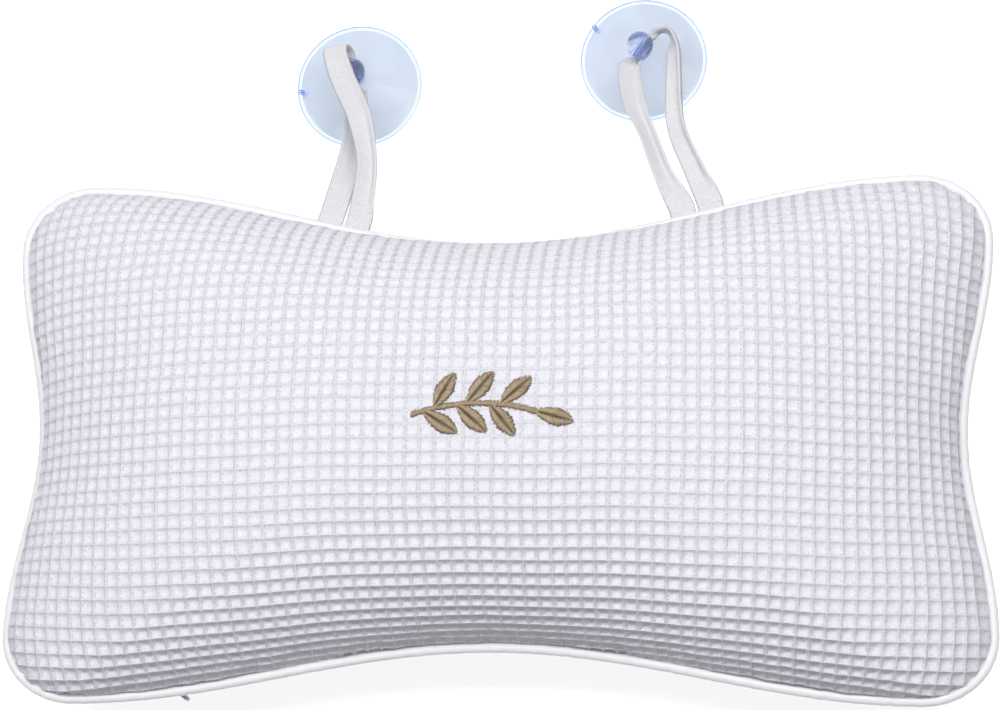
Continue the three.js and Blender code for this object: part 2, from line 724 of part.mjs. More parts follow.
function strapTape(strap) {
  const { place, along, out } = strapRoot(strap);
  const bunch = (CROSS_HOLE_D - 2 * BUNCH_EASE) / Math.SQRT2;
  const up = new THREE.Vector3(0, 0, 1);
  const hole = cupPlace(strap).setZ(CROSS_HOLE_HEIGHT);
  const holeAngle = radians(strap.pegAngle) - QUARTER;
  const through = new THREE.Vector3(Math.cos(holeAngle), Math.sin(holeAngle), 0);
  const aside = new THREE.Vector3().crossVectors(up, through).multiplyScalar(strap.backSide);
  const fromHole = (far, beside, lift) =>
    hole.clone().addScaledVector(through, far).addScaledVector(aside, beside).addScaledVector(up, lift);
  const centres = [];
  const sections = [];
  const add = (point, width, thick, turn) => {
    centres.push(point);
    sections.push(new THREE.Vector3(width, thick, radians(turn)));
  };
  const sewnEnd = (side) => place.clone().addScaledVector(along, (side * (TAPE_WIDTH + ROOT_GAP)) / 2);
  const firstStep = (end) =>
    end.clone().addScaledVector(out, TAPE_WIDTH / 2).addScaledVector(up, -TAPE_WIDTH / 6);
  const onLeg = (end, goal, [share, sideways, lift]) =>
    end.clone().lerp(goal, share).addScaledVector(along, sideways).addScaledVector(up, lift);
  const entry = fromHole(-NECK_D, 0, 0);
  const lastTurn = fromHole(...strap.turn[strap.turn.length - 1]);
  const nearEnd = sewnEnd(strap.nearSide);
  const farEnd = sewnEnd(-strap.nearSide);
  add(nearEnd, TAPE_WIDTH, TAPE_THICK, 0);
  add(firstStep(nearEnd), TAPE_WIDTH, TAPE_THICK, 0);
  for (const point of strap.nearLeg) {
    add(onLeg(nearEnd, entry, point), TAPE_WIDTH, TAPE_THICK, point[3]);
  }
  for (const share of [-1, 0, 1]) {
    add(fromHole(share * NECK_D, 0, 0), bunch, bunch, 90);
  }
  for (const point of strap.turn) {
    add(fromHole(...point), point[3], point[4], point[5]);
  }
  for (const point of [...strap.farLeg].reverse()) {
    add(onLeg(farEnd, lastTurn, point), TAPE_WIDTH, TAPE_THICK, point[3]);
  }
  add(firstStep(farEnd), TAPE_WIDTH, TAPE_THICK, 0);
  add(farEnd, TAPE_WIDTH, TAPE_THICK, 0);
  const route = new THREE.CatmullRomCurve3(centres, false, 'centripetal');
  const section = new THREE.CatmullRomCurve3(sections, false, 'centripetal');
  const rings = [];
  for (let i = 0; i <= STRAP_STEPS; i += 1) {
    const share = i / STRAP_STEPS;
    const tangent = route.getTangent(share);
    const level = new THREE.Vector3().crossVectors(up, tangent).normalize();
    const steep = new THREE.Vector3().crossVectors(tangent, level);
    const { x: width, y: thick, z: turn } = section.getPoint(share);
    const broad = level.clone().multiplyScalar(Math.cos(turn)).addScaledVector(steep, Math.sin(turn));
    const narrow = new THREE.Vector3().crossVectors(tangent, broad);
    const centre = route.getPoint(share);
    rings.push(
      [[-1, -1], [1, -1], [1, 1], [-1, 1]].map(([b, n]) =>
        centre.clone().addScaledVector(broad, (b * width) / 2).addScaledVector(narrow, (n * thick) / 2),
      ),
    );
  }
  return fromTriangles(rod(rings));
}

// Finishes

const WAFFLE = { color: 0xeae9f3, roughness: 0.9 };
const SATIN = { color: 0xf7f7fa, roughness: 0.35 };
const COTTON = { color: 0xeceaee, roughness: 0.85 };
const LINER = { color: 0xf4f4f2, roughness: 0.8 };
const FIBRE = { color: 0xffffff, roughness: 1 };
const THREAD = { color: 0x9a8767, roughness: 0.5 };
const NYLON = { color: 0xf1f1f4, roughness: 0.4 };
const SLIDER_GREY = { color: 0xb9bbc2, roughness: 0.35, metalness: 0.6 };
const PULL_GREY = { color: 0x8d8c96, roughness: 0.45 };
const PVC = { color: 0xc9d8ef, roughness: 0.12, transparent: true, opacity: 0.5 };

const pillow = new THREE.Group();

function piece(name, geometry, finish) {
  const mesh = new THREE.Mesh(geometry, new THREE.MeshStandardMaterial(finish));
  mesh.name = name;
  pillow.add(mesh);
  return mesh;
}

piece('front_panel', frontPanel, WAFFLE);
piece('back_panel', backPanel, WAFFLE);
piece('piping_cover', pipingCover, SATIN);
piece('piping_cord', pipingCord, COTTON);
piece('embroidered_sprig', sprig(), THREAD);
piece('inner_case_front', caseFront, LINER);
piece('inner_case_back', caseBack, LINER);
piece('filling', filling, FIBRE);
piece('zip_tape_front', zipTape(1), COTTON);
piece('zip_tape_back', zipTape(-1), COTTON);
piece('zip_coil_front', zipCoil(1), NYLON);
piece('zip_coil_back', zipCoil(-1), NYLON);
piece('zip_top_stop', zipStop(-1), SLIDER_GREY);
piece('zip_bottom_stop', zipStop(1), SLIDER_GREY);
piece('zip_slider', zipSlider(), SLIDER_GREY);
piece('zip_pull', zipPull(), PULL_GREY);
for (const [name, strap] of Object.entries(STRAPS)) {
  piece(`strap_${name}`, strapTape(strap), COTTON);
  const cup = piece(`suction_cup_${name}`, suctionCup(), PVC);
  cup.position.copy(cupPlace(strap));
  cup.rotation.z = radians(strap.pegAngle);
}

export default pillow;
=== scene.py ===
import functools
import math

import bpy
import numpy as np
from mathutils import Matrix, Vector
from mathutils.bvhtree import BVHTree
from mathutils.kdtree import KDTree


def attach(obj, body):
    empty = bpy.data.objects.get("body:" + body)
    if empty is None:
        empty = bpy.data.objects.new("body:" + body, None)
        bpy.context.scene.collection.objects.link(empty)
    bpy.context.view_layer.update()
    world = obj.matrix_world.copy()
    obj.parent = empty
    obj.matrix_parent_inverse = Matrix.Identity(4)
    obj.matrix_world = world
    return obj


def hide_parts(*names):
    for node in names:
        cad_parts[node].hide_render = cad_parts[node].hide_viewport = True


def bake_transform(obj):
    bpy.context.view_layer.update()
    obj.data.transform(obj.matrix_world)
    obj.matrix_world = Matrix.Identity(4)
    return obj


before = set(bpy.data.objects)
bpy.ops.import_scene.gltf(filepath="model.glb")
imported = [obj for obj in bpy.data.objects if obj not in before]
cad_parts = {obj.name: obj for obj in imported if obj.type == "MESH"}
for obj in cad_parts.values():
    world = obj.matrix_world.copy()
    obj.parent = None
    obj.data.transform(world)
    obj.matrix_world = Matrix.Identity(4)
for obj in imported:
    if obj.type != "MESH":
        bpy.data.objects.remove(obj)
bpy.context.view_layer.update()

bl_info = {
    "name": "Bath Pillow",
    "version": (1, 0, 0),
    "blender": (4, 5, 0),
    "location": "3D View > Sidebar > Bath Pillow",
    "description": "Dresses the bath pillow's solids in waffle cloth, satin piping, tape and clear PVC",
    "category": "Object",
}

MM = 0.001  # lengths below are worked out in millimetres
TAU = 2 * math.pi
UP = np.array([0.0, 0.0, 1.0])
DOWN = Vector((0, 0, -1))

# Fineness of the cover
AROUND = 128  # steps round the seam
RINGS = 22  # steps from the seam to the middle
RING_CROWDING = 1.6  # how much the rings close up towards the middle
FINER = 4  # how much finer the cloth follows the swollen shape
CELL_STEPS = np.array([0.0, 0.09, 0.33, 0.67, 0.91])  # mesh lines across one cell of the waffle

# Filling of the cover
PRESSURE, STIFFNESS, CLOTH_MASS = 12.0, 4.0, 0.2
VOXEL = 5.0  # of the even mesh that the filling swells
HELD = 4.5  # from the seam, where the cloth is held
HELD_ZIP_X, HELD_ZIP_Y, HELD_ZIP_DROP = 150.0, -55.0, 20.0  # the stretch round the zip that is held too
SWELL_FRAMES, SWELL_QUALITY, SMOOTHINGS = 20, 6, 6
NEIGHBOURS, NEIGHBOUR_BLUR = 8, 4e-6  # that a point takes its swell from; the blur is in square metres
START_SIZE = 0.93  # share of the crown before the filling swells it
CROWN_ROOM = 0.7  # below the top of the crown, for the waffle's ridges
REST_HEIGHT, TABLE_GAP = 0.2, 0.05  # least heights of the back and of its ridges
OVERHANG_HEIGHT = 9.0  # above and below the seam, where the filled cloth hangs out the most
OVERHANG_BLUR = 4  # steps of the seam on either side
# How far the front hangs out over the piping, at shares of the way round the seam from the +X end; it
# leans in where the distance is less than nothing
OVERHANG = ((0.0, 1.3), (0.085, 1.6), (0.14, 1.4), (0.2, 1.2), (0.25, 3.4), (0.3, 1.0), (0.36, 0.8),
            (0.415, 1.2), (0.5, 3.0), (0.585, 2.2), (0.63, -0.2), (0.67, -0.8), (0.75, -0.9), (0.83, -0.8),
            (0.87, -0.2), (0.915, 1.4), (1.0, 1.3))
BACK_OVERHANG, BACK_FADE = 1.5, 20.0  # of the back, and the length of its fall to none at the zip

# Section of the cover, as in the solids
FRONT_FULLNESS, FRONT_RISE = 3.1, 1.5
BACK_FULLNESS, BACK_RISE = 2.4, 2.0
ROUNDING = 2.0
EASE, CORNER_ROUND = 0.36, 0.55
WAFFLE_CLOTH = 1.6
FLANGE_HALF = 0.65
CLEARANCE = 0.3

# Waffle cloth
LAY_ROUNDS, LAY_STIFFNESS = 80, (0.02, 20.0)  # of laying a panel flat: tries, and limits of a span's weight
RIDGE_TOP, RIDGE_HALF_WIDTH, RIDGE_POWER = 0.25, 0.35, 1.7  # half of the flat top, and the fall beside it
CROSSING, CROSSING_POWER = 1.15, 3  # the most that crossing ridges reach, and how sharply they join
FLAT_BOWL, SLACK_BOWL = 0.4, 0.75  # share of the waffle's depth in the hollow of a cell, taut and slack
FLAT_POWER, SLACK_POWER = 3.2, 1.9  # how steeply the hollow rises to the ridges, taut and slack
FLAT_DEPTH, SLACK_DEPTH = 0.6, 1.5  # shares of the waffle's set depth, taut and slack
SLACK_FROM, SLACK_GAIN = 0.15, 1.25  # slope towards the zip where the cloth goes slack, and how fast it does
SEAM_DEPTH, SEAM_FROM, SEAM_FADE = 0.75, 0.5, 3.0  # share of the depth at the seam, and where it grows
SUNK = 0.55  # share of the relief that lies below the swollen shape
SWAY, SWAY_WAVES = 0.45, ((95.0, 41.0), (120.0, 53.0))  # of the thread lines, over the whole panel
JITTER, JITTER_WAVES = 0.12, ((11.3, 17.9), (12.1, 19.3))  # of the thread lines, from cell to cell
UNEVEN = 0.12  # share by which the relief differs from place to place
PRESSED, PRESS_NEAR, PRESS_FADE = 0.85, 2.5, 3.5  # how flat the sprig's stitches press the waffle, and where
PRESS_REACH = (50.0, 32.0)  # beyond this the stitches press nothing
PUCKER, PUCKER_START, PUCKER_FADE = 0.7, 3.0, 9.0  # gathers beside the piping

# Piping
SEAM_LENGTH = 1130.0  # about; waves round the seam are parts of it
PIPING_SWAY, PIPING_CREASE = 0.35, 0.075
PIPING_OPEN = 0.33  # half of the angle in which the strip goes into the seam
FLANGE, FLANGE_LIFT, FLANGE_CLOTH = 5.5, 0.25, 12.0
CORD_R, CORD_PLY, CORD_TWISTS = 1.05, 0.13, 180

# Inner cushion
CASE_DEPTH, CASE_INSET, CASE_WRINKLE = 2.9, 8.6, 0.4
FIBRE_DEPTH, FIBRE_INSET = 4.2, 9.6
INSIDE_RIM = 0.3

# Zip: its arc, lean and widths are those of the solids, and the cloth's notch ends 1.9 sooner
ZIP_DROP = 13.0
NOTCH_X, NOTCH_EASE = 138.6, 3.0  # end of the notch, and the length over which it opens
NOTCH_FADE = math.pi / 2 * 3 / 7  # the cloth bends round the notch within this angle of the crown
ZIP_R, ZIP_MID_Y, ZIP_UP, ZIP_LEAN = 545.6, 73.79, -7.45, math.radians(13.1)
ZIP_HALF_WIDTH = 6.53
HEM, HEM_LIFT, HEM_FADE = 0.75, 0.6, 9.0  # the back's edge lies on the zip's tape and is sewn to it
ZIP_ARC_BOTTOM, ZIP_ARC_TOP = 132.3, 143.4
# Half of the zip tape's section: distances from the coil's side, each with half of the thickness there
TAPE_SECTION = ((0.15, 0.18), (0.5, 0.34), (1.6, 0.34), (2.2, 0.3), (2.8, 0.24), (4.4, 0.24), (5.0, 0.19),
                (5.4, 0.19), (5.9, 0.25), (ZIP_HALF_WIDTH, 0.25))
SEWING_UP, SEWING_END, SEWING_PITCH = 5.2, 4.0, 2.6  # the row of stitches on the zip's tape
SEWING_HALF, SEWING_R, SEWING_LIFT = 0.9, 0.17, 0.16  # one of its stitches
COIL_END, COIL_BASE, COIL_HEIGHT, COIL_WIDTH, COIL_GAP = 128.6, 0.6, 1.1, 2.0, 0.05
WELD, ROUNDED_FROM, CAST_SHARP = 0.02, math.radians(35), math.radians(50)  # of the die-cast pieces
STOP_BEVEL, SLIDER_BEVEL, PULL_BEVEL = 0.3, 0.22, 0.25

# Straps: where the middle of the sewn ends lies on the seam, the way from there to the cup, the turn of
# the cup, the end that goes through the cup first and the side where the tape turns back, as in the
# solids; then the points of its legs and its turn, within about 3 of the solids' route. A leg's point is
# a share of the way, a distance along the seam and a lift; a point of the turn is a way on, aside and up
# from the cup's hole, with the tape's width and thickness there. Each ends with its turn and its fold in
# degrees. A turn of None keeps the tape's broad face across the loop.
STRAPS = {
    "left": {
        "seam_x": -60.7, "to_cup": (-1.7, 69.2), "peg_angle": 188.0, "near_side": -1, "back_side": 1,
        "near_leg": [(0.3, 2.0, 1, 10, 15), (0.65, 2.8, 0.5, 20, 25)],
        "turn": [(10, 1.5, 2.5, 5.5, 1.6, None, 0), (11.0, 4.2, 8, 8.5, 1.1, None, 0),
                 (7, 5.0, 13.0, 9.5, 1, None, 0), (-4, 3.0, 15.5, 10, 1, 0, 15)],
        "far_leg": [(0.2, 4.0, 0.5, 0, 45), (0.45, 7.2, 0.8, 0, 65), (0.74, 5.8, 0.8, 0, 35)],
    },
    "right": {
        "seam_x": 74.8, "to_cup": (-24.3, 74.4), "peg_angle": 146.5, "near_side": -1, "back_side": -1,
        "near_leg": [(0.26, -2.0, 3, 10, 60), (0.53, -2.7, 3, 10, 75), (0.77, -3.2, 2.7, 10, 45)],
        "turn": [(10.5, 1.5, 1.5, 5, 1.8, 90, 0), (11.5, 6.5, 4, 7, 1.3, 80, 30),
                 (5.6, 12.4, 7, 9, 1, 55, 50)],
        "far_leg": [(0.25, -2.6, 0.5, 15, 55), (0.55, -5.6, 0.5, 25, 70)],
    },
}
ROOT_GAP, ROOT_ANGLE = 0.8, math.radians(63)
ROOT_FOLD = 5  # degrees, just out of the seam
FOLD_PLACE, FOLD_SPREAD = 0.3, 0.15  # of the tape's lengthwise fold, from its middle to its edge
FOLD_FLAT = 0.5  # share of the fold's angle that the broader side takes
FOLD_TURN = 5.0  # how quickly the fold changes sides where the tape turns over
MOUTH, MOUTH_LIFT, MOUTH_WIDTH, MOUTH_FOLD = 7.6, 1.2, 8.6, 20  # before the cup's hole, still broad
THROUGH_HOLE = (-1.1, 0.0, 1.5)  # where the gathered tape passes, in radii of the cup's neck
RIB_PITCH, RIB_DEPTH, RIB_UNEVEN = 1.05, 0.3, 0.5  # of the tape's crosswise ribs, in shares of its thickness
# The tape's thicker edges and the grooves beside them: share of the thickness, place and spread
SELVEDGE = ((0.35, 0.86, 0.1), (-0.38, 0.66, 0.06))
EDGE_POWER, OVAL_POWER = 10, 2.4  # roundness of the flat and of the gathered tape
GATHERED_WIDTH, GATHER_FOLDS, GATHER_DEPTH = 4.0, 3.5, 0.3  # of the tape in the cup's hole
CURL, MOUTH_CURL, MOUTH_CURL_FADE = 0.16, 0.25, 3.0  # of the tape across its width

# Cups
CUP_LIP, CUP_HOLLOW, DISH_SAG = 1.6, 6.0, 0.35
LIP_EDGE = ((-0.5, 0.0), (-0.12, 0.12), (0.0, 0.4), (0.0, 0.7), (-0.25, 1.0), (-1.2, 1.28), (-1.6, 1.3))
SHOULDER_R, SHOULDER_HEIGHT = 6.0, 8.2
NECK_R, NECK_FILLET, BALL_R, BALL_HEIGHT = 4.0, 1.4, 5.2, 20.0
HOLE_R, HOLE_HEIGHT, BUNCH_EASE = 2.6, 12.0, 0.45
PEG_R, PEG_FOOT, PEG_TOP, PEG_ROUND, PEG_INSET, PEG_LEAN = 1.0, 1.6, 5.1, 0.4, 3.2, 0.4
PEG_TINT_MARGIN = 0.2
BALL_TINT, BALL_TINT_FROM, BALL_TINT_FADE, BALL_TINT_R = 0.5, 8.0, 3.5, 12.0  # where the plastic is thick
LIP_TINT, LIP_TINT_WIDTH = 0.6, 1.2
CUP_SHARP = math.radians(45)

# Sprig, as in the solids, and its stitches
SPRIG_LENGTH, SPRIG_BOW, STEM_WIDTH = 48.0, 4.0, 1.8
LEAF_LENGTH, LEAF_WIDTH, LEAF_ANGLE = 15.5, 6.4, math.radians(48)
LEAF_PLACES, LEAF_STAGGER, END_LEAF = (-0.75, -0.25, 0.25), 0.08, 0.25  # shares of the stem and of a leaf
RAGGED = 0.2  # unevenness of the stitches' ends
STEM_SPARE, STEM_OVERLAP, STEM_SLANT = 2.0, 0.15, 0.35
LEAF_START, LEAF_STOP, LEAF_LEAST, LEAF_SLANT, LEAF_FORWARD, VEIN = 0.6, 0.3, 0.3, 0.38, 0.6, 0.05
STITCH_LIFT, STITCH_RISE, STITCH_MOST, STITCH_ROUND = 0.12, 0.16, 0.5, 0.55

# Camera, set by the photograph, and stage, in metres
CAMERA_AXES = ((0.99248, 0.01875, -0.12098), (0.00918, 0.97402, 0.22628), (0.12208, -0.22569, 0.96652))
CAMERA_PLACE = (0.15299, -0.24898, 1.2455)
CAMERA_REACH = (0.05, 20.0)
SENSOR = 36.0  # millimetres
FLOOR_HALF, FLOOR_GLOW = 6.0, 0.65
LAMP_WIDTH, LAMP_AIM = 2.2, Vector((0.0, 0.0, 0.05))
KEY_DEPTH, KEY_PLACE = 0.4, Vector((0.0, 0.34, 1.5))
FILL_DEPTH, FILL_PLACE = 0.5, Vector((0.0, -1.4, 0.4))


# Settings


def length(name, description, default):
    return bpy.props.FloatProperty(
        name=name, description=description, default=default, min=0.0, unit="LENGTH", precision=5)


def colour(name, description, default):
    return bpy.props.FloatVectorProperty(
        name=name, description=description, default=default, min=0.0, max=1.0, subtype="COLOR")


def share(name, description, default):
    return bpy.props.FloatProperty(
        name=name, description=description, default=default, min=0.0, max=1.0, subtype="FACTOR")


class CoverSettings(bpy.types.PropertyGroup):
    """Outline, crown and cloth of the cover"""

    half_width: length("Half width", "From the middle to the corners, over the piping", 0.185)
    waist_half_width: length("Half width at the waist", "At the middle of each short end", 0.1747)
    half_height: length("Half height", "From the middle to the corners, over the piping", 0.0998)
    top_mid: length("Top middle", "Middle of the long side with the straps", 0.0756)
    bottom_mid: length("Bottom middle", "Middle of the long side with the zip", 0.0804)
    corner_width: length("Corner width", "Width of a rounded corner", 0.0275)
    corner_height: length("Corner height", "Height of a rounded corner", 0.0252)
    seam_height: length("Seam height", "Seam above the table", 0.042)
    front_crown: length("Front crown", "Top of the front above the seam", 0.054)
    back_crown: length("Back crown", "Back below the seam, before the table flattens it", 0.046)
    swell: length("Swell", "The most that the filling pushes the cloth out", 0.006)
    column: length("Waffle column", "Width of one cell of the waffle", 0.0052)
    row: length("Waffle row", "Height of one cell of the waffle", 0.0050)
    depth: length("Waffle depth", "From the ridges to the floor of a cell", 0.0020)
    cloth: colour("Cloth", "Waffle cotton", (0.86, 0.855, 0.93))
    piping: length("Piping", "Thickness of the piping", 0.004)
    satin: colour("Satin", "Cloth of the piping", (0.93, 0.93, 0.955))


class StrapSettings(bpy.types.PropertyGroup):
    """Tape loops and suction cups"""

    width: length("Tape width", "Width of the tape", 0.010)
    thick: length("Tape thickness", "Thickness of the tape", 0.001)
    tape: colour("Tape", "Woven cotton tape", (0.84, 0.835, 0.87))
    cup: length("Cup diameter", "Suction cup, across its lip", 0.050)
    pvc: colour("PVC", "Clear soft plastic of the cups", (0.62, 0.675, 0.755))
    thick_pvc: colour("Thick PVC", "The same where it is thick", (0.42, 0.52, 0.90))


class ZipSettings(bpy.types.PropertyGroup):
    """Zip in the bottom seam"""

    pitch: length("Coil pitch", "Distance between turns of a coil", 0.0012)
    wire: length("Coil thread", "Thickness of the coil's thread", 0.0005)
    coil: colour("Coil", "Nylon", (0.88, 0.88, 0.91))
    slider: colour("Slider", "Paint of the slider and the stops", (0.50, 0.505, 0.54))
    pull: colour("Pull", "Paint of the pull", (0.52, 0.52, 0.58))


class SprigSettings(bpy.types.PropertyGroup):
    """Embroidered sprig"""

    stitch: length("Stitch pitch", "Distance between stitches", 0.00042)
    thread: length("Thread", "Thickness of the thread", 0.00048)
    tan: colour("Thread", "Middle of the stitches", (0.36, 0.275, 0.17))
    brown: colour("Stitch ends", "Ends of the stitches, in the shade", (0.060, 0.038, 0.022))


class InsideSettings(bpy.types.PropertyGroup):
    """Inner cushion"""

    liner: colour("Liner", "Cloth of the inner case", (0.90, 0.90, 0.88))
    fibre: colour("Fibre", "Filling", (0.93, 0.93, 0.93))
    lump: length("Lumps", "Height of the lumps of the filling", 0.0012)


class StageSettings(bpy.types.PropertyGroup):
    """Floor, lights and camera"""

    floor: colour("Floor", "Plain pale floor", (1.0, 1.0, 1.0))
    lens: bpy.props.FloatProperty(
        name="Lens", description="Focal length on a 36 mm sensor", default=119.35, min=1.0, unit="CAMERA")
    key: bpy.props.FloatProperty(
        name="Key light", description="Soft light above the straps", default=23.0, min=0.0, unit="POWER")
    fill: bpy.props.FloatProperty(
        name="Fill light", description="Weak light from the front", default=2.5, min=0.0, unit="POWER")
    sky: share("Sky", "Even light from all round", 0.27)


class BathPillowSettings(bpy.types.PropertyGroup):
    """All settings of the bath pillow"""

    cover: bpy.props.PointerProperty(type=CoverSettings, name="Cover", description="The cover")
    straps: bpy.props.PointerProperty(type=StrapSettings, name="Straps", description="Tapes and cups")
    zip: bpy.props.PointerProperty(type=ZipSettings, name="Zip", description="The zip")
    sprig: bpy.props.PointerProperty(type=SprigSettings, name="Sprig", description="The embroidery")
    inside: bpy.props.PointerProperty(type=InsideSettings, name="Inside", description="The inner cushion")
    stage: bpy.props.PointerProperty(type=StageSettings, name="Stage", description="Floor and lights")


def settings():
    return bpy.context.scene.bath_pillow


def in_mm(value):
    return value / MM


# Shader maths


class Socket:
    """An output of a shader node that takes part in Python arithmetic."""

    def __init__(self, finish, output):
        self.finish = finish
        self.output = output

    def math(self, operation, *values):
        return self.finish.node("ShaderNodeMath", {"operation": operation}, dict(enumerate(values)))

    def __add__(self, other):
        return self.math("ADD", self, other)

    def __radd__(self, other):
        return self.math("ADD", other, self)

    def __sub__(self, other):
        return self.math("SUBTRACT", self, other)

    def __rsub__(self, other):
        return self.math("SUBTRACT", other, self)

    def __mul__(self, other):
        return self.math("MULTIPLY", self, other)

    def __rmul__(self, other):
        return self.math("MULTIPLY", other, self)

    def __truediv__(self, other):
        return self.math("DIVIDE", self, other)

    def __rtruediv__(self, other):
        return self.math("DIVIDE", other, self)

    def __mod__(self, other):
        return self.math("FLOORED_MODULO", self, other)

    def wave(self):
        return self.math("SINE", self)

    def size(self):
        return self.math("ABSOLUTE", self)

    def least(self, other):
        return self.math("MINIMUM", self, other)

    def from_lines(self, pitch):
        """Distance to the nearest of evenly spaced lines."""
        return ((self / pitch + 0.5) % 1.0 - 0.5).size() * pitch


class Finish:
    """A material with one Principled shader, built from node calls."""

    def __init__(self, name, **uniform):
        self.material = bpy.data.materials.new(name)
        self.material.use_nodes = True
        self.tree = self.material.node_tree
        self.shader = self.tree.nodes["Principled BSDF"]
        self.set(**uniform)

    def set(self, **values):
        """Sets or links the shader's inputs, with their names in small letters; gives the material."""
        for key, value in values.items():
            self.feed(self.shader.inputs[key.replace("_", " ").title().replace("Ior", "IOR")], value)
        return self.material

    def feed(self, entry, value):
        if isinstance(value, Socket):
            self.tree.links.new(value.output, entry)
        else:
            entry.default_value = value

    def node(self, kind, options=None, sockets=None, output=0):
        """A node of that type, with its options set first, then its sockets."""
        made = self.tree.nodes.new(kind)
        for key, value in (options or {}).items():
            setattr(made, key, value)
        for key, value in (sockets or {}).items():
            self.feed(made.inputs[key], value)
        return Socket(self, made.outputs[output])

    def attribute(self, name, output="Fac"):
        return self.node("ShaderNodeAttribute", {"attribute_name": name}, output=output)

    def split(self, vector):
        """The three numbers of a vector."""
        return [self.node("ShaderNodeSeparateXYZ", None, {0: vector}, k) for k in range(3)]

    def noise(self, scale, detail=2.0, rough=0.5):
        """Cloudy numbers over the piece, finer at a larger scale."""
        place = self.node("ShaderNodeTexCoord", output="Object")
        return self.node(
            "ShaderNodeTexNoise", None,
            {"Vector": place, "Scale": scale, "Detail": detail, "Roughness": rough})

    def fade(self, value, near, far):
        """1 up to the near value, then smoothly down to 0 at the far one."""
        return self.node(
            "ShaderNodeMapRange", {"interpolation_type": "SMOOTHSTEP"},
            {"Value": value, "From Min": near, "From Max": far, "To Min": 1.0, "To Max": 0.0})

    def mix(self, factor, first, second):
        return self.node(
            "ShaderNodeMix", {"data_type": "RGBA"},
            {"Factor": factor, 6: rgba(first), 7: rgba(second)}, 2)

    def bump(self, height, strength, distance):
        self.set(normal=self.node(
            "ShaderNodeBump", None,
            {"Height": height, "Strength": strength, "Distance": distance}))


def rgba(value):
    return value if isinstance(value, Socket) else (*value, 1.0)


def scaled(tint, factor):
    return tuple(min(1.0, part * factor) for part in tint)


@functools.lru_cache(maxsize=None)
def waffle_finish():
    """White waffle cotton: thin ridges with a painted highlight, painted shade in the soft grooves beside
    them, and looser fluff in the cells.
    """
    c = settings().cover
    tint = tuple(c.cloth)
    f = Finish("waffle_cotton", roughness=0.95, sheen_weight=0.12, sheen_roughness=0.5,
               specular_ior_level=0.2)
    across, along, _ = f.split(f.attribute("cloth", "Vector"))
    pit = f.attribute("pit")
    broad = f.noise(14.0, 3.0)
    fluff = f.noise(1250.0, 4.0, 0.75)
    beside, above = across.from_lines(in_mm(c.column)), along.from_lines(in_mm(c.row))
    # the ridge tops: they raise the bump and carry a painted highlight
    crest = f.fade(beside.least(above), 0.1, 0.36)
    # painted shade in the grooves beside the ridges, weaker beside the rows
    groove_shade = f.fade((beside - 0.55).size(), 0.0, 0.5) + f.fade((above - 0.55).size(), 0.0, 0.5) * 0.6
    fleck = f.fade(fluff, 0.42, 0.58)
    threads = (across * (TAU / 0.65)).wave() * (along * (TAU / 0.62)).wave()
    # darker flecks of fluff everywhere at random, and many more in the grooves as painted shade
    shade = f.mix(fleck * (groove_shade * 0.8 + 0.3), scaled(tint, 1.08), scaled(tint, 0.72))
    f.bump(threads * (0.45 - pit * 0.3) + fluff * (1.0 + pit * 1.2) + crest, 0.6, 0.00035)
    # painted highlight: the ridge tops lighter in colour, over broad tone that differs at random
    return f.set(base_color=f.mix(broad * 0.25 + crest * 0.7, shade, scaled(tint, 1.05)))


@functools.lru_cache(maxsize=None)
def satin_finish():
    """White satin cut on the bias: slanted threads and a soft sheen."""
    tint = tuple(settings().cover.satin)
    f = Finish("satin", specular_ior_level=0.55, sheen_weight=0.05, sheen_roughness=0.3, anisotropic=0.4)
    along, round_, _ = f.split(f.attribute("cloth", "Vector"))
    threads = ((along + round_ * 1.1) * (TAU / 0.34)).wave()
    creases = f.noise(320.0, 2.0)
    f.bump(threads * 0.4 + creases * 1.2, 0.3, 0.00015)
    return f.set(
        base_color=f.mix(creases * 0.6, scaled(tint, 1.03), scaled(tint, 0.93)),
        roughness=0.30 + creases * 0.2)


def woven(name, tint, pitch, slant):
    """Woven cloth with threads of that pitch; slant turns them into a herringbone."""
    f = Finish(name, roughness=0.88, sheen_weight=0.1, specular_ior_level=0.25)
    across, along, _ = f.split(f.attribute("cloth", "Vector"))
    rib = ((across % (6 * pitch)) - 3 * pitch).size() * slant
    threads = ((along + rib) * (TAU / pitch)).wave() * 0.5 + (across * (TAU / pitch)).wave() * 0.25
    fluff = f.noise(1100.0, 3.0, 0.6)
    broad = f.noise(60.0, 2.0)
    f.bump(threads + fluff * 0.8, 0.5, 0.00025)
    shade = broad * 0.4 + threads * 0.25 + (fluff - 0.5) * 1.2 + 0.2
    return f.set(base_color=f.mix(shade, scaled(tint, 1.07), scaled(tint, 0.86)))


@functools.lru_cache(maxsize=None)
def tape_finish():
    return woven("cotton_tape", tuple(settings().straps.tape), 0.6, 1.0)


@functools.lru_cache(maxsize=None)
def liner_finish():
    return woven("liner", tuple(settings().inside.liner), 0.4, 0.0)


@functools.lru_cache(maxsize=None)
def fibre_finish():
    """Loose fibre, in wisps."""
    tint = tuple(settings().inside.fibre)
    f = Finish("fibre", roughness=1.0, sheen_weight=0.3)
    wisps = f.noise(260.0, 5.0, 0.7)
    f.bump(wisps, 0.8, 0.001)
    return f.set(base_color=f.mix(wisps, scaled(tint, 0.85), scaled(tint, 1.07)))


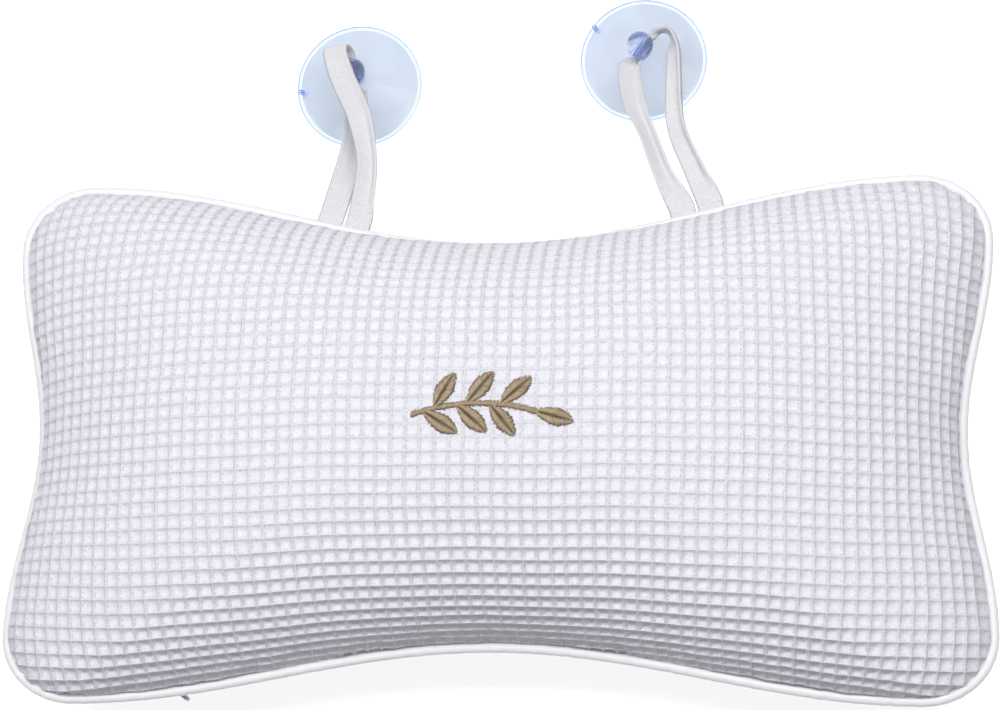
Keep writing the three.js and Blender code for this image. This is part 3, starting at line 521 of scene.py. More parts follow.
@functools.lru_cache(maxsize=None)
def thread_finish():
    """Shiny embroidery thread, with painted shade where the stitches dive into the cloth."""
    sprig = settings().sprig
    f = Finish("thread", roughness=0.42, specular_ior_level=0.5, sheen_weight=0.15, anisotropic=0.5)
    ends, tone = f.attribute("end"), f.attribute("tone")
    ply = f.noise(2600.0, 2.0)
    lit = f.mix(tone, tuple(sprig.tan), scaled(tuple(sprig.tan), 1.45))
    f.bump(ply, 0.4, 0.0001)
    # painted shade: each stitch turns brown towards its ends, where it dives into the cloth
    return f.set(base_color=f.mix(ends + (ply - 0.5) * 0.25, lit, tuple(sprig.brown)))


def painted(name, tint, roughness):
    """Painted metal with a faint orange peel and rubbed high spots."""
    f = Finish(name, metallic=0.25, specular_ior_level=0.5, coat_weight=0.2, coat_roughness=0.25)
    peel = f.noise(2500.0, 2.0)
    rubbed = f.noise(500.0, 3.0)
    f.bump(peel, 0.15, 0.0001)
    return f.set(
        base_color=f.mix(rubbed * 0.7, scaled(tint, 0.85), scaled(tint, 1.25)),
        roughness=roughness + rubbed * 0.2)


@functools.lru_cache(maxsize=None)
def nylon_finish():
    """Moulded nylon thread with a soft gloss."""
    tint = tuple(settings().zip.coil)
    f = Finish("nylon", specular_ior_level=0.5)
    grain = f.noise(900.0)
    f.bump(grain, 0.1, 0.0001)
    return f.set(
        base_color=f.mix(grain, scaled(tint, 0.93), scaled(tint, 1.05)),
        roughness=0.3 + grain * 0.15)


@functools.lru_cache(maxsize=None)
def slider_finish():
    return painted("slider_metal", tuple(settings().zip.slider), 0.3)


@functools.lru_cache(maxsize=None)
def pull_finish():
    return painted("pull_grey", tuple(settings().zip.pull), 0.38)


@functools.lru_cache(maxsize=None)
def pvc_finish():
    """Clear soft plastic: see-through in the thin dish, bluer where it is thick."""
    tint = tuple(settings().straps.pvc)
    f = Finish("clear_pvc", ior=1.17, transmission_weight=0.9, specular_ior_level=0.9)
    thick = f.attribute("thick")
    haze = f.noise(60.0, 2.0)
    marks = f.noise(700.0, 2.0)
    f.bump(marks, 0.05, 0.0002)
    return f.set(
        base_color=f.mix(thick, f.mix(haze, scaled(tint, 1.12), scaled(tint, 0.9)),
                         tuple(settings().straps.thick_pvc)),
        roughness=0.05 + haze * 0.1)


# Meshes


def new_mesh(name, points, faces, attributes=None):
    """A smooth mesh from points in millimetres, with numbers or vectors stored for its points."""
    mesh = bpy.data.meshes.new(name)
    faces = faces if isinstance(faces, list) else faces.tolist()
    mesh.from_pydata((np.asarray(points) * MM).tolist(), [], faces)
    mesh.update()
    mesh.shade_smooth()
    for key, values in (attributes or {}).items():
        give(mesh, key, values)
    return mesh


def add_piece(name, points, faces, finish, body, nodes, attributes=None):
    """A piece made of a new mesh, which stands for CAD nodes and rides on a body."""
    mesh = new_mesh(name, points, faces, attributes)
    return dress(bpy.data.objects.new(name, mesh), finish, body, nodes)


def give(mesh, key, values):
    """Stores a number or a vector for each point of a mesh."""
    values = np.asarray(values, np.float32)
    kind, field = ("FLOAT", "value") if values.ndim == 1 else ("FLOAT_VECTOR", "vector")
    mesh.attributes.new(key, kind, "POINT").data.foreach_set(field, values.ravel())


def dress(piece, finish, body, nodes):
    """Gives a piece its finish, hides the CAD nodes that it stands for and sets it on its body."""
    piece.data.materials.clear()
    piece.data.materials.append(finish)
    bpy.context.scene.collection.objects.link(piece)
    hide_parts(*nodes)
    if body:
        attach(piece, body)
    return piece


def grid_faces(rows, columns, close_rows=False, close_columns=False, start=0):
    """Quads of a grid of points, row by row."""
    index = start + np.arange(rows * columns).reshape(rows, columns)
    if close_rows:
        index = np.vstack([index, index[:1]])
    if close_columns:
        index = np.hstack([index, index[:, :1]])
    quads = np.stack([index[:-1, :-1], index[1:, :-1], index[1:, 1:], index[:-1, 1:]], -1)
    return quads.reshape(-1, 4)


def tube_faces(rows, columns):
    """Faces of a closed tube whose rows run on along it: its sides, then its two ends."""
    sides = grid_faces(rows, columns, close_columns=True)[:, ::-1].tolist()
    ring = list(range(columns))
    return sides + [ring[::-1], [(rows - 1) * columns + k for k in ring]]


def flip(faces):
    return [face[::-1] for face in faces]


def circle(steps):
    """Angles of evenly spaced points round a circle."""
    return np.linspace(0, TAU, steps, endpoint=False)


def evaluated(piece):
    """The mesh of an object with its modifiers applied."""
    depsgraph = bpy.context.evaluated_depsgraph_get()
    return bpy.data.meshes.new_from_object(piece.evaluated_get(depsgraph), depsgraph=depsgraph)


def mesh_points(mesh):
    points = np.zeros(len(mesh.vertices) * 3)
    mesh.vertices.foreach_get("co", points)
    return points.reshape(-1, 3)


def unit(vectors):
    return vectors / np.maximum(np.linalg.norm(vectors, axis=-1, keepdims=True), 1e-9)


def wander(values, waves, seed):
    """Smooth irregular numbers of about unit size; waves are wavelengths."""
    draw = np.random.default_rng(seed)
    total = np.zeros_like(values)
    for wave in waves:
        total += np.sin(TAU * values / wave + draw.uniform(0, TAU)) * draw.uniform(0.6, 1.0)
    return total / len(waves)


def smooth_step(values):
    values = np.clip(values, 0, 1)
    return values * values * (3 - 2 * values)


def between(first, second, part):
    return first + (second - first) * part


def travelled(points):
    """How far along a line each of its points lies, for lines of points in the rows of an array."""
    steps = np.cumsum(np.linalg.norm(np.diff(points, axis=-2), axis=-1), -1)
    return np.concatenate([np.zeros_like(steps[..., :1]), steps], -1)


def curve_spans(points, shares):
    """The four points round each place on a curve through points, and the share of the way there."""
    points = np.asarray(points, float)
    last = len(points) - 1
    padded = np.vstack([2 * points[0] - points[1], points, 2 * points[-1] - points[-2]])
    at = np.clip(np.asarray(shares) * last, 0, last - 1e-9)
    i = at.astype(int)
    return *(padded[i + k] for k in range(4)), (at - i)[:, None]


def uniform_curve(points, shares):
    """Catmull-Rom curve through evenly spaced points."""
    p0, p1, p2, p3, w = curve_spans(points, shares)
    return 0.5 * (2 * p1 + (p2 - p0) * w + (2 * p0 - 5 * p1 + 4 * p2 - p3) * w ** 2
                  + (3 * p1 - 3 * p2 + p3 - p0) * w ** 3)


def route_at(points, shares):
    """Centripetal Catmull-Rom curve through points, at shares of the way from point to point."""
    p0, p1, p2, p3, w = curve_spans(points, shares)
    gap = [np.sqrt(np.linalg.norm(b - a, axis=1))[:, None] for a, b in ((p0, p1), (p1, p2), (p2, p3))]
    middle = np.where(gap[1] < 1e-4, 1.0, gap[1])
    first, third = (np.where(g < 1e-4, middle, g) for g in (gap[0], gap[2]))
    leave = ((p1 - p0) / first - (p2 - p0) / (first + middle) + (p2 - p1) / middle) * middle
    arrive = ((p2 - p1) / middle - (p3 - p1) / (middle + third) + (p3 - p2) / third) * middle
    return (p1 + leave * w + (3 * (p2 - p1) - 2 * leave - arrive) * w ** 2
            + (2 * (p1 - p2) + leave + arrive) * w ** 3)


# Outline and swollen shape of the cover


def bezier(points, steps=60):
    t = np.linspace(0, 1, steps, endpoint=False)[:, None]
    p0, p1, p2, p3 = (np.asarray(p, float) for p in points)
    return (1 - t) ** 3 * p0 + 3 * (1 - t) ** 2 * t * p1 + 3 * (1 - t) * t ** 2 * p2 + t ** 3 * p3


def quarter_outline(mid):
    """A quarter of the outline over the piping, from the end of the pillow to the middle of a long side."""
    c = settings().cover
    waist, wide, high = in_mm(c.waist_half_width), in_mm(c.half_width), in_mm(c.half_height)
    corner_x, corner_y = wide - in_mm(c.corner_width), high - in_mm(c.corner_height)
    end = [(waist, 0), (waist, corner_y * EASE), (wide, corner_y * (1 - EASE)), (wide, corner_y)]
    corner = [(wide, corner_y), (wide, corner_y + (high - corner_y) * CORNER_ROUND),
              (corner_x + (wide - corner_x) * CORNER_ROUND, high), (corner_x, high)]
    side = [(corner_x, high), (corner_x * (1 - EASE), high), (corner_x * EASE, mid), (0, mid)]
    return np.vstack([bezier(end), bezier(corner), bezier(side), [(0, mid)]])


@functools.lru_cache(maxsize=None)
def seam_line(steps):
    """The centre line of the piping, anticlockwise from the +X end: places and outward directions."""
    c = settings().cover
    top, bottom = quarter_outline(in_mm(c.top_mid)), quarter_outline(in_mm(c.bottom_mid))
    loop = np.vstack([
        top[:-1], (top * (-1, 1))[:0:-1], (bottom * (-1, -1))[:-1], (bottom * (1, -1))[:0:-1]])
    closed = np.vstack([loop, loop[:1]])
    along = travelled(closed)
    at = np.linspace(0, along[-1], steps, endpoint=False)
    line = np.stack([np.interp(at, along, closed[:, k]) for k in range(2)], 1)
    tangent = unit(np.roll(line, -1, 0) - np.roll(line, 1, 0))
    out = np.stack([tangent[:, 1], -tangent[:, 0]], 1)
    return line - in_mm(c.piping) / 2 * out, out


def crown_angles(rings):
    """How far up the crown each ring lies."""
    return math.pi / 2 * (1 - (1 - np.linspace(0, 1, rings + 1)) ** RING_CROWDING)


def crown_grid(side, inset, rim, crown, floor=0.0):
    """Points (round the seam, from rim to middle) of one half of a crowned form, as in the solids."""
    c = settings().cover
    seam, out = seam_line(AROUND)
    fullness, rise = (FRONT_FULLNESS, FRONT_RISE) if side > 0 else (BACK_FULLNESS, BACK_RISE)
    angle = crown_angles(RINGS)
    spread = np.maximum(np.cos(angle), 0) ** (2 / fullness)
    spread[-1] = 0
    height = in_mm(c.seam_height) + side * (rim + (crown - rim) * np.sin(angle) ** (2 / rise))
    base = seam - inset * out
    less = in_mm(c.piping) / 2 + inset
    waist = np.stack([
        np.full(AROUND, in_mm(c.waist_half_width) - less),
        np.where(base[:, 1] > 0, in_mm(c.top_mid), in_mm(c.bottom_mid)) - less], 1)
    ellipse = base / np.linalg.norm(base / waist, axis=1)[:, None]
    kept = (spread ** ROUNDING)[None, :, None]
    plan = (ellipse[:, None] * (1 - kept) + base[:, None] * kept) * spread[None, :, None]
    level = np.broadcast_to(np.maximum(height, floor)[None, :, None], (AROUND, RINGS + 1, 1))
    return np.concatenate([plan, level], 2)


def dome_faces(around, rings, start=0):
    """Triangles and quads of a crowned half whose last ring is one point."""
    quads = grid_faces(around, rings, close_rows=True, start=start).tolist()
    last = start + np.arange(around) * rings + rings - 1
    tip = start + around * rings
    return quads + [[a, b, tip] for a, b in zip(last.tolist(), np.roll(last, -1).tolist())]


def dome_points(grid):
    return np.vstack([grid[:, :-1].reshape(-1, 3), grid[0, -1:]])


def bag_mesh(front, back):
    """The two halves of the cover joined along the seam into a closed bag."""
    around, rings = front.shape[0], front.shape[1] - 1
    start = around * rings + 1
    rim = np.arange(around) * rings
    ahead = np.roll(rim, -1)
    band = np.stack([rim, start + rim, start + ahead, ahead], 1).tolist()
    faces = dome_faces(around, rings) + flip(dome_faces(around, rings, start)) + band
    return new_mesh("bag", np.vstack([dome_points(front), dome_points(back)]), faces)


def nearest_tree(points):
    tree = KDTree(len(points))
    for i, point in enumerate(points):
        tree.insert(point, i)
    tree.balance()
    return tree


def held_points(points):
    """Which points of the bag, in metres, the seam and the zip hold."""
    height = settings().cover.seam_height
    seam, _ = seam_line(AROUND * 2)
    tree = nearest_tree(np.column_stack([seam * MM, np.full(len(seam), height)]))
    from_seam = np.array([tree.find(point)[2] for point in points])
    x, y, z = points.T
    beside_zip = (y < HELD_ZIP_Y * MM) & (np.abs(x) < HELD_ZIP_X * MM)
    beside_zip &= (z < height) & (z > height - HELD_ZIP_DROP * MM)
    return np.nonzero((from_seam < HELD * MM) | beside_zip)[0].tolist()


def inflate(bag):
    """Runs the cloth simulation on the bag and gives the points that it ends with."""
    scene = bpy.context.scene
    cloth = bag.modifiers.new("swell", "CLOTH")
    cloth.settings.quality = SWELL_QUALITY
    cloth.settings.mass = CLOTH_MASS
    cloth.settings.use_pressure = True
    cloth.settings.uniform_pressure_force = PRESSURE
    cloth.settings.tension_stiffness = cloth.settings.compression_stiffness = STIFFNESS
    cloth.settings.shear_stiffness = STIFFNESS / 2
    cloth.settings.vertex_group_mass = "held"
    cloth.settings.effector_weights.gravity = 0.0
    cloth.collision_settings.use_collision = False
    cloth.point_cache.frame_start, cloth.point_cache.frame_end = 1, SWELL_FRAMES
    for step in range(1, SWELL_FRAMES + 1):
        scene.frame_set(step)
    swollen = evaluated(bag)
    points = mesh_points(swollen)
    scene.frame_set(1)
    bpy.data.meshes.remove(swollen)
    return points


def relaxed(values, edges):
    """Values of points, each half way to the average of its neighbours."""
    total, count = np.zeros_like(values), np.zeros(len(values))
    for a, b in ((0, 1), (1, 0)):
        np.add.at(total, edges[:, a], values[edges[:, b]])
        np.add.at(count, edges[:, a], 1)
    return (values + total / np.maximum(count, 1)[:, None]) / 2


def carried(grid, tree, moved):
    """How far the points of a grid move, in millimetres, with the moved points near them."""
    shift = []
    for place in grid.reshape(-1, 3) * MM:
        found = tree.find_n(place, NEIGHBOURS)
        weight = np.array([1 / (apart * apart + NEIGHBOUR_BLUR) for _, _, apart in found])
        shift.append((moved[[i for _, i, _ in found]] * weight[:, None]).sum(0) / weight.sum())
    shift = np.reshape(shift, grid.shape) / MM
    shift[:, -1] = shift[:, -1].mean(0)
    return shift


def swell(front, back):
    """Fills the cover like a cushion: a cloth simulation under pressure, held at the seam and the zip."""
    most = settings().cover.swell
    bag = bpy.data.objects.new("bag", bag_mesh(front, back))
    bpy.context.scene.collection.objects.link(bag)
    remesh = bag.modifiers.new("even", "REMESH")
    remesh.mode, remesh.voxel_size = "VOXEL", VOXEL * MM
    even = evaluated(bag)
    bag.modifiers.clear()
    bag.data = even
    start = mesh_points(even)
    bag.vertex_groups.new(name="held").add(held_points(start), 1.0, "REPLACE")
    moved = inflate(bag) - start
    edges = np.array([edge.vertices[:] for edge in even.edges])
    for _ in range(SMOOTHINGS):
        moved = relaxed(moved, edges)
    size = np.linalg.norm(moved, axis=1, keepdims=True)
    moved *= most * np.tanh(size / most) / np.maximum(size, 1e-9)
    bpy.data.objects.remove(bag)
    bpy.data.meshes.remove(even)
    tree = nearest_tree(start)
    return [grid + carried(grid, tree, moved) for grid in (front, back)]


@functools.lru_cache(maxsize=None)
def cover_halves():
    """The front and back of the swollen cover, as grids of points from rim to middle."""
    c = settings().cover
    inset, rim = in_mm(c.piping) / 2, FLANGE_HALF
    front, back = (
        crown_grid(side, inset, rim, in_mm(crown) * START_SIZE)
        for side, crown in ((1, c.front_crown), (-1, c.back_crown)))
    front, back = swell(front, back)
    seam_height = in_mm(c.seam_height)
    for half, reach in ((front, in_mm(c.front_crown) - CROWN_ROOM), (back, -in_mm(c.back_crown))):
        rise = half[..., 2] - seam_height
        half[..., 2] = seam_height + rise * reach / rise[0, -1]
    _, out = seam_line(AROUND)
    overhang = np.interp(np.arange(AROUND) / AROUND, *zip(*OVERHANG))
    overhang = np.concatenate([overhang[-OVERHANG_BLUR:], overhang, overhang[:OVERHANG_BLUR]])
    window = 2 * OVERHANG_BLUR + 1
    overhang = np.convolve(overhang, np.full(window, 1 / window), "valid")
    x, y = front[:, 0, 0], front[:, 0, 1]
    clear = 1 - smooth_step((NOTCH_X + BACK_FADE - np.abs(x)) / BACK_FADE) * (y < 0)
    for half, hang in ((front, overhang), (back, BACK_OVERHANG * clear)):
        above = np.abs(half[..., 2] - seam_height) / OVERHANG_HEIGHT
        push = hang[:, None] * above * np.exp(1 - above)
        half[..., :2] += out[:, None] * push[..., None]
    back[..., 2] = np.maximum(back[..., 2], REST_HEIGHT)
    return front, back


# Waffle cloth


def flattened(grid):
    """Cloth coordinates of a crowned half: its threads laid flat with as little stretch as possible."""
    around, rings = grid.shape[0], grid.shape[1] - 1
    index = np.hstack([np.arange(around * rings).reshape(around, rings),
                       np.full((around, 1), around * rings)])
    points = dome_points(grid)
    ahead = np.roll(index, -1, 0)
    a, b, c, d = index[:, :-1], ahead[:, :-1], ahead[:, 1:], index[:, 1:]
    triangles = np.vstack([np.stack(t, -1).reshape(-1, 3) for t in ((a, b, c), (a, c, d))])
    triangles = triangles[triangles[:, 1] != triangles[:, 2]]
    corner = points[triangles]
    side1, side2 = corner[:, 1] - corner[:, 0], corner[:, 2] - corner[:, 0]
    axis = unit(side1)
    x2 = (side2 * axis).sum(1)
    y2 = np.linalg.norm(side2 - x2[:, None] * axis, axis=1)
    flat = np.zeros((len(triangles), 3, 2))
    flat[:, 1, 0] = np.linalg.norm(side1, axis=1)
    flat[:, 2, 0], flat[:, 2, 1] = x2, y2
    count = len(points)
    matrix = np.zeros((count, count))
    spans = []
    for i, j, k in ((0, 1, 2), (1, 2, 0), (2, 0, 1)):
        p, q = flat[:, i] - flat[:, k], flat[:, j] - flat[:, k]
        area = np.abs(p[:, 0] * q[:, 1] - p[:, 1] * q[:, 0])
        weight = np.clip((p * q).sum(1) / np.maximum(area, 1e-6), *LAY_STIFFNESS)
        m, n = triangles[:, i], triangles[:, j]
        for r, s, sign in ((m, m, 1), (n, n, 1), (m, n, -1), (n, m, -1)):
            np.add.at(matrix, (r, s), sign * weight)
        spans.append((m, n, weight, flat[:, i] - flat[:, j]))
    matrix[0, 0] += 1.0
    inverse = np.linalg.inv(matrix)
    up_the_crown = np.linalg.norm(np.diff(grid[:, ::-1], axis=1), axis=2).cumsum(1)[:, ::-1]
    spokes = unit(grid[:, 0, :2])[:, None] * up_the_crown[..., None]
    laid = np.vstack([spokes.reshape(-1, 2), [(0, 0)]])
    for _ in range(LAY_ROUNDS):
        turn = np.zeros((len(triangles), 2))
        for m, n, weight, span in spans:
            now = laid[m] - laid[n]
            turn[:, 0] += weight * (now * span).sum(1)
            turn[:, 1] += weight * (now[:, 1] * span[:, 0] - now[:, 0] * span[:, 1])
        cos, sin = unit(turn).T
        pull = np.zeros((count, 2))
        for m, n, weight, span in spans:
            goal = np.stack([cos * span[:, 0] - sin * span[:, 1], sin * span[:, 0] + cos * span[:, 1]], 1)
            goal *= weight[:, None]
            np.add.at(pull, m, goal)
            np.subtract.at(pull, n, goal)
        laid = inverse @ pull
    laid -= laid[-1]
    angle = math.atan2((laid[:, 1] * points[:, 0] - laid[:, 0] * points[:, 1]).sum(),
                       (laid * points[:, :2]).sum())
    cos, sin = math.cos(-angle), math.sin(-angle)
    laid = laid @ np.array([[cos, sin], [-sin, cos]])
    return laid[index]


def refine(grid, times):
    """A grid of a closed half, made finer by smooth curves round it and from rim to middle."""
    around, rows, parts = grid.shape
    wrapped = np.concatenate([grid[-3:], grid, grid[:4]])
    shares = (3 + np.arange(around * times) / times) / (len(wrapped) - 1)
    finer = np.stack([uniform_curve(wrapped[:, k], shares) for k in range(rows)], 1)
    shares = np.arange((rows - 1) * times + 1) / ((rows - 1) * times)
    return uniform_curve(finer.transpose(1, 0, 2).reshape(rows, -1), shares).reshape(
        -1, around * times, parts).transpose(1, 0, 2)


def grid_normals(points, side):
    round_ = np.roll(points, -1, 0) - np.roll(points, 1, 0)
    inward = np.gradient(points, axis=1)
    normals = unit(np.cross(round_, inward)) * side
    normals[:, -1] = (0, 0, side)
    return normals


def zip_notch(fine):
    """Takes the cloth of the back away where the zip stands, and sews its edge to the zip's tape."""
    seam, _ = seam_line(fine.shape[0])
    reach = in_mm(settings().cover.back_crown) - WAFFLE_CLOTH - FLANGE_HALF - CLEARANCE
    notch = math.asin(((ZIP_DROP + CLEARANCE) / reach) ** (BACK_RISE / 2))
    angles = crown_angles(fine.shape[1] - 1)
    opened = smooth_step((NOTCH_X + NOTCH_EASE / 2 - np.abs(seam[:, 0])) / NOTCH_EASE) * (seam[:, 1] < 0)
    result = fine.copy()
    for i in np.nonzero(opened)[0]:
        moved = angles + notch * opened[i] * np.clip(1 - angles / NOTCH_FADE, 0, 1)
        for k in range(fine.shape[2]):
            result[i, :, k] = np.interp(moved, angles, fine[i, :, k])
    edge = result[:, 0, :3]
    along, up = zip_place(edge)
    sewn = (on_zip(along, np.maximum(up, HEM - ZIP_HALF_WIDTH), HEM_LIFT) - edge) * opened[:, None]
    deep = np.linalg.norm(result[..., :3] - edge[:, None], axis=2)
    result[..., :3] += sewn[:, None] * np.exp(-(deep / HEM_FADE) ** 2)[..., None]
    return result


def puckered(points, side):
    """Small gathers where the cloth is sewn to the piping."""
    depth = travelled(points)
    gather = wander(seam_lengths(len(points)), round_waves(71, 113, 47), 21 + side)
    fade = np.exp(-depth / PUCKER_FADE) * np.minimum(depth / PUCKER_START, 1)
    return points + grid_normals(points, side) * (PUCKER * gather[:, None] * fade)[..., None]


def cross(a, b):
    return a[:, 0] * b[:, 1] - a[:, 1] * b[:, 0]


def draped(fine, normals, spots):
    """Where spots of the flat cloth lie on a panel, its normals there, and which lie on it at all."""
    surface, laid = fine[..., :3].reshape(-1, 3), fine[..., 3:].reshape(-1, 2)
    quads = grid_faces(*fine.shape[:2], close_rows=True)
    triangles = np.vstack([quads[:, [0, 1, 2]], quads[:, [0, 2, 3]]])
    tree = BVHTree.FromPolygons(np.pad(laid, ((0, 0), (0, 1))).tolist(), triangles.tolist())
    found = [tree.ray_cast(Vector((x, y, 1.0)), DOWN)[2] for x, y in spots.tolist()]
    hits = np.array([-1 if hit is None else hit for hit in found])
    corner = triangles[np.maximum(hits, 0)]
    p, q, r = (laid[corner[:, k]] for k in range(3))
    whole = cross(q - p, r - p)
    whole = np.where(np.abs(whole) < 1e-9, 1e-9, whole)
    second, third = cross(spots - p, r - p) / whole, cross(q - p, spots - p) / whole
    shares = np.stack([1 - second - third, second, third], 1)[..., None]
    place = (surface[corner] * shares).sum(1)
    return place, unit((normals.reshape(-1, 3)[corner] * shares).sum(1)), hits >= 0


def on_rim(fine, normals, spots):
    """The places on a panel's sewn edge nearest to spots of the flat cloth, and the normals there."""
    line = fine[:, 0, 3:]
    step = np.roll(line, -1, 0) - line
    t = np.clip(((spots[:, None] - line) * step).sum(2) / (step * step).sum(1), 0, 1)
    best = np.linalg.norm(line + t[..., None] * step - spots[:, None], axis=2).argmin(1)
    t = t[np.arange(len(spots)), best][:, None]
    after = (best + 1) % len(line)
    place, normal = (part[best, 0] * (1 - t) + part[after, 0] * t for part in (fine[..., :3], normals))
    return place, unit(normal)


def thread_lines(low, high, pitch):
    """Mesh lines across all cells of the waffle, from one side of the flat cloth to the other."""
    cells = np.arange(math.floor(low / pitch) - 1, math.ceil(high / pitch) + 1)
    return ((cells[:, None] + CELL_STEPS) * pitch).ravel()


def waffle_relief(u, v, slack):
    """Height of the waffle, 1 on its ridges and least in the middle of a cell; slack cells are deeper."""
    c = settings().cover
    power = between(FLAT_POWER, SLACK_POWER, slack)
    hollow, crest = 1.0, 0.0
    for at, size in ((u, in_mm(c.column)), (v, in_mm(c.row))):
        away = np.maximum(np.abs((at / size + 0.5) % 1 - 0.5) * size - RIDGE_TOP, 0)
        hollow = hollow * (1 - (1 - 2 * away / size) ** power)
        crest = crest + np.exp(-(away / RIDGE_HALF_WIDTH) ** RIDGE_POWER) ** CROSSING_POWER
    crest = np.minimum(crest ** (1 / CROSSING_POWER), CROSSING)
    bowl = between(FLAT_BOWL, SLACK_BOWL, slack)
    return (1 - hollow) * bowl + crest * (1 - bowl)


def under_sprig(places):
    """How far the sprig's stitches press the waffle flat, from 1 under them to 0 away from them."""
    stations = [stem_point(x)[0] for x in np.linspace(-SPRIG_LENGTH / 2, SPRIG_LENGTH / 2, 20)]
    for root, angle in leaf_places():
        stations += [root + t * heading(angle) for t in np.linspace(0, LEAF_LENGTH, 7)]
    near = (np.abs(places[:, :2]) < PRESS_REACH).all(1)
    apart = np.linalg.norm(places[near][:, None, :2] - np.array(stations), axis=2).min(1)
    pressed = np.zeros(len(places))
    pressed[near] = 1 - smooth_step((apart - PRESS_NEAR) / PRESS_FADE)
    return pressed


def waffle_panel(name, grid, side, node):
    """A cover panel of waffle cloth: ridges and cells modelled thread line by thread line."""
    c = settings().cover
    seed = 11 if side > 0 else 12
    fine = refine(np.concatenate([grid, refine(flattened(grid[::2, ::2]), 2)], 2), FINER)
    if side < 0:
        fine = zip_notch(fine)
    fine[..., :3] = puckered(fine[..., :3], side)
    normals = grid_normals(fine[..., :3], side)
    low, high = fine[..., 3:].min((0, 1)), fine[..., 3:].max((0, 1))
    lines = [thread_lines(low[k], high[k], in_mm(size)) for k, size in enumerate((c.column, c.row))]
    u, v = (part.ravel() for part in np.meshgrid(*lines, indexing="ij"))
    spots = np.stack([
        at + SWAY * wander(beside, sway, seed + k) + JITTER * wander(at, jitter, seed + k + 2)
        for k, at, beside, sway, jitter in zip((0, 4), (u, v), (v, u), SWAY_WAVES, JITTER_WAVES)], 1)
    place, normal, inside = draped(fine, normals, spots)
    faces = grid_faces(len(lines[0]), len(lines[1]))
    faces = faces[inside[faces].any(1)]
    rim = np.unique(faces[~inside[faces]])
    place[rim], normal[rim] = on_rim(fine, normals, spots[rim])
    slack = smooth_step((-normal[:, 1] - SLACK_FROM) * SLACK_GAIN)
    relief = waffle_relief(u, v, slack)
    uneven = wander(u, (5.3 * in_mm(c.column), 13.1, 7.7), seed + 8) * wander(v, (31.0, 9.7), seed + 9)
    from_seam = np.abs(place[:, 2] - in_mm(c.seam_height))
    depth = in_mm(c.depth) * between(FLAT_DEPTH, SLACK_DEPTH, slack)
    depth *= between(SEAM_DEPTH, 1, smooth_step((from_seam - SEAM_FROM) / SEAM_FADE))
    lift = depth * (relief * (1 + UNEVEN * uneven) - SUNK)
    if side > 0:
        lift *= 1 - PRESSED * under_sprig(place)
    lift[rim] = 0
    place += normal * lift[:, None]
    place[:, 2] = np.maximum(place[:, 2], TABLE_GAP)
    used, faces = np.unique(faces, return_inverse=True)
    cloth = np.stack([u, v, np.zeros(len(u))], 1)
    return add_piece(
        name, place[used], faces.reshape(-1, 4)[:, ::side], waffle_finish(), "cover",
        [node], {"cloth": cloth[used], "pit": 1 - np.clip(relief[used], 0, 1)})


# Sprig


def heading(angle):
    return np.array([math.cos(angle), math.sin(angle)])


def stem_point(x):
    """Place and slope of the stem."""
    half = SPRIG_LENGTH / 2
    return np.array([x, SPRIG_BOW * (0.5 - (x / half) ** 2)]), math.atan(-2 * SPRIG_BOW * x / half ** 2)


def leaf_places():
    """Root and angle of each leaf: three pairs, and one at the end of the stem."""
    half = SPRIG_LENGTH / 2
    leaves = []
    for part in LEAF_PLACES:
        for side in (-1, 1):
            root, slope = stem_point((part + side * LEAF_STAGGER) * half)
            leaves.append((root, slope + side * LEAF_ANGLE))
    leaves.append(stem_point(half - LEAF_LENGTH * END_LEAF))
    return leaves


def sprig_stitches(draw):
    """Both ends of every satin stitch, in plan, in the order they are sewn."""
    pitch = in_mm(settings().sprig.stitch)
    stitches = []

    def ragged():
        return draw.normal(0, RAGGED)

    for x in np.arange(-SPRIG_LENGTH / 2, SPRIG_LENGTH / 2 - STEM_SPARE, pitch):
        place, slope = stem_point(x)
        ahead = heading(slope)
        beside = np.array([-ahead[1], ahead[0]])
        half = STEM_WIDTH / 2 + STEM_OVERLAP
        stitches.append((place - beside * (half + ragged()) - STEM_SLANT * ahead,
                         place + beside * (half + ragged()) + STEM_SLANT * ahead))
    for root, angle in leaf_places():
        ahead = heading(angle)
        beside = np.array([-ahead[1], ahead[0]])
        for side in (-1, 1):
            for t in np.arange(LEAF_START, LEAF_LENGTH - LEAF_STOP, pitch):
                half = 2 * (t / LEAF_LENGTH) * (1 - t / LEAF_LENGTH) * LEAF_WIDTH
                reach = max(LEAF_LEAST, half + ragged())
                slant = LEAF_SLANT * half
                stitches.append((root + ahead * (t - slant) + beside * side * VEIN,
                                 root + ahead * (t + slant * LEAF_FORWARD) + beside * side * reach))
    return stitches


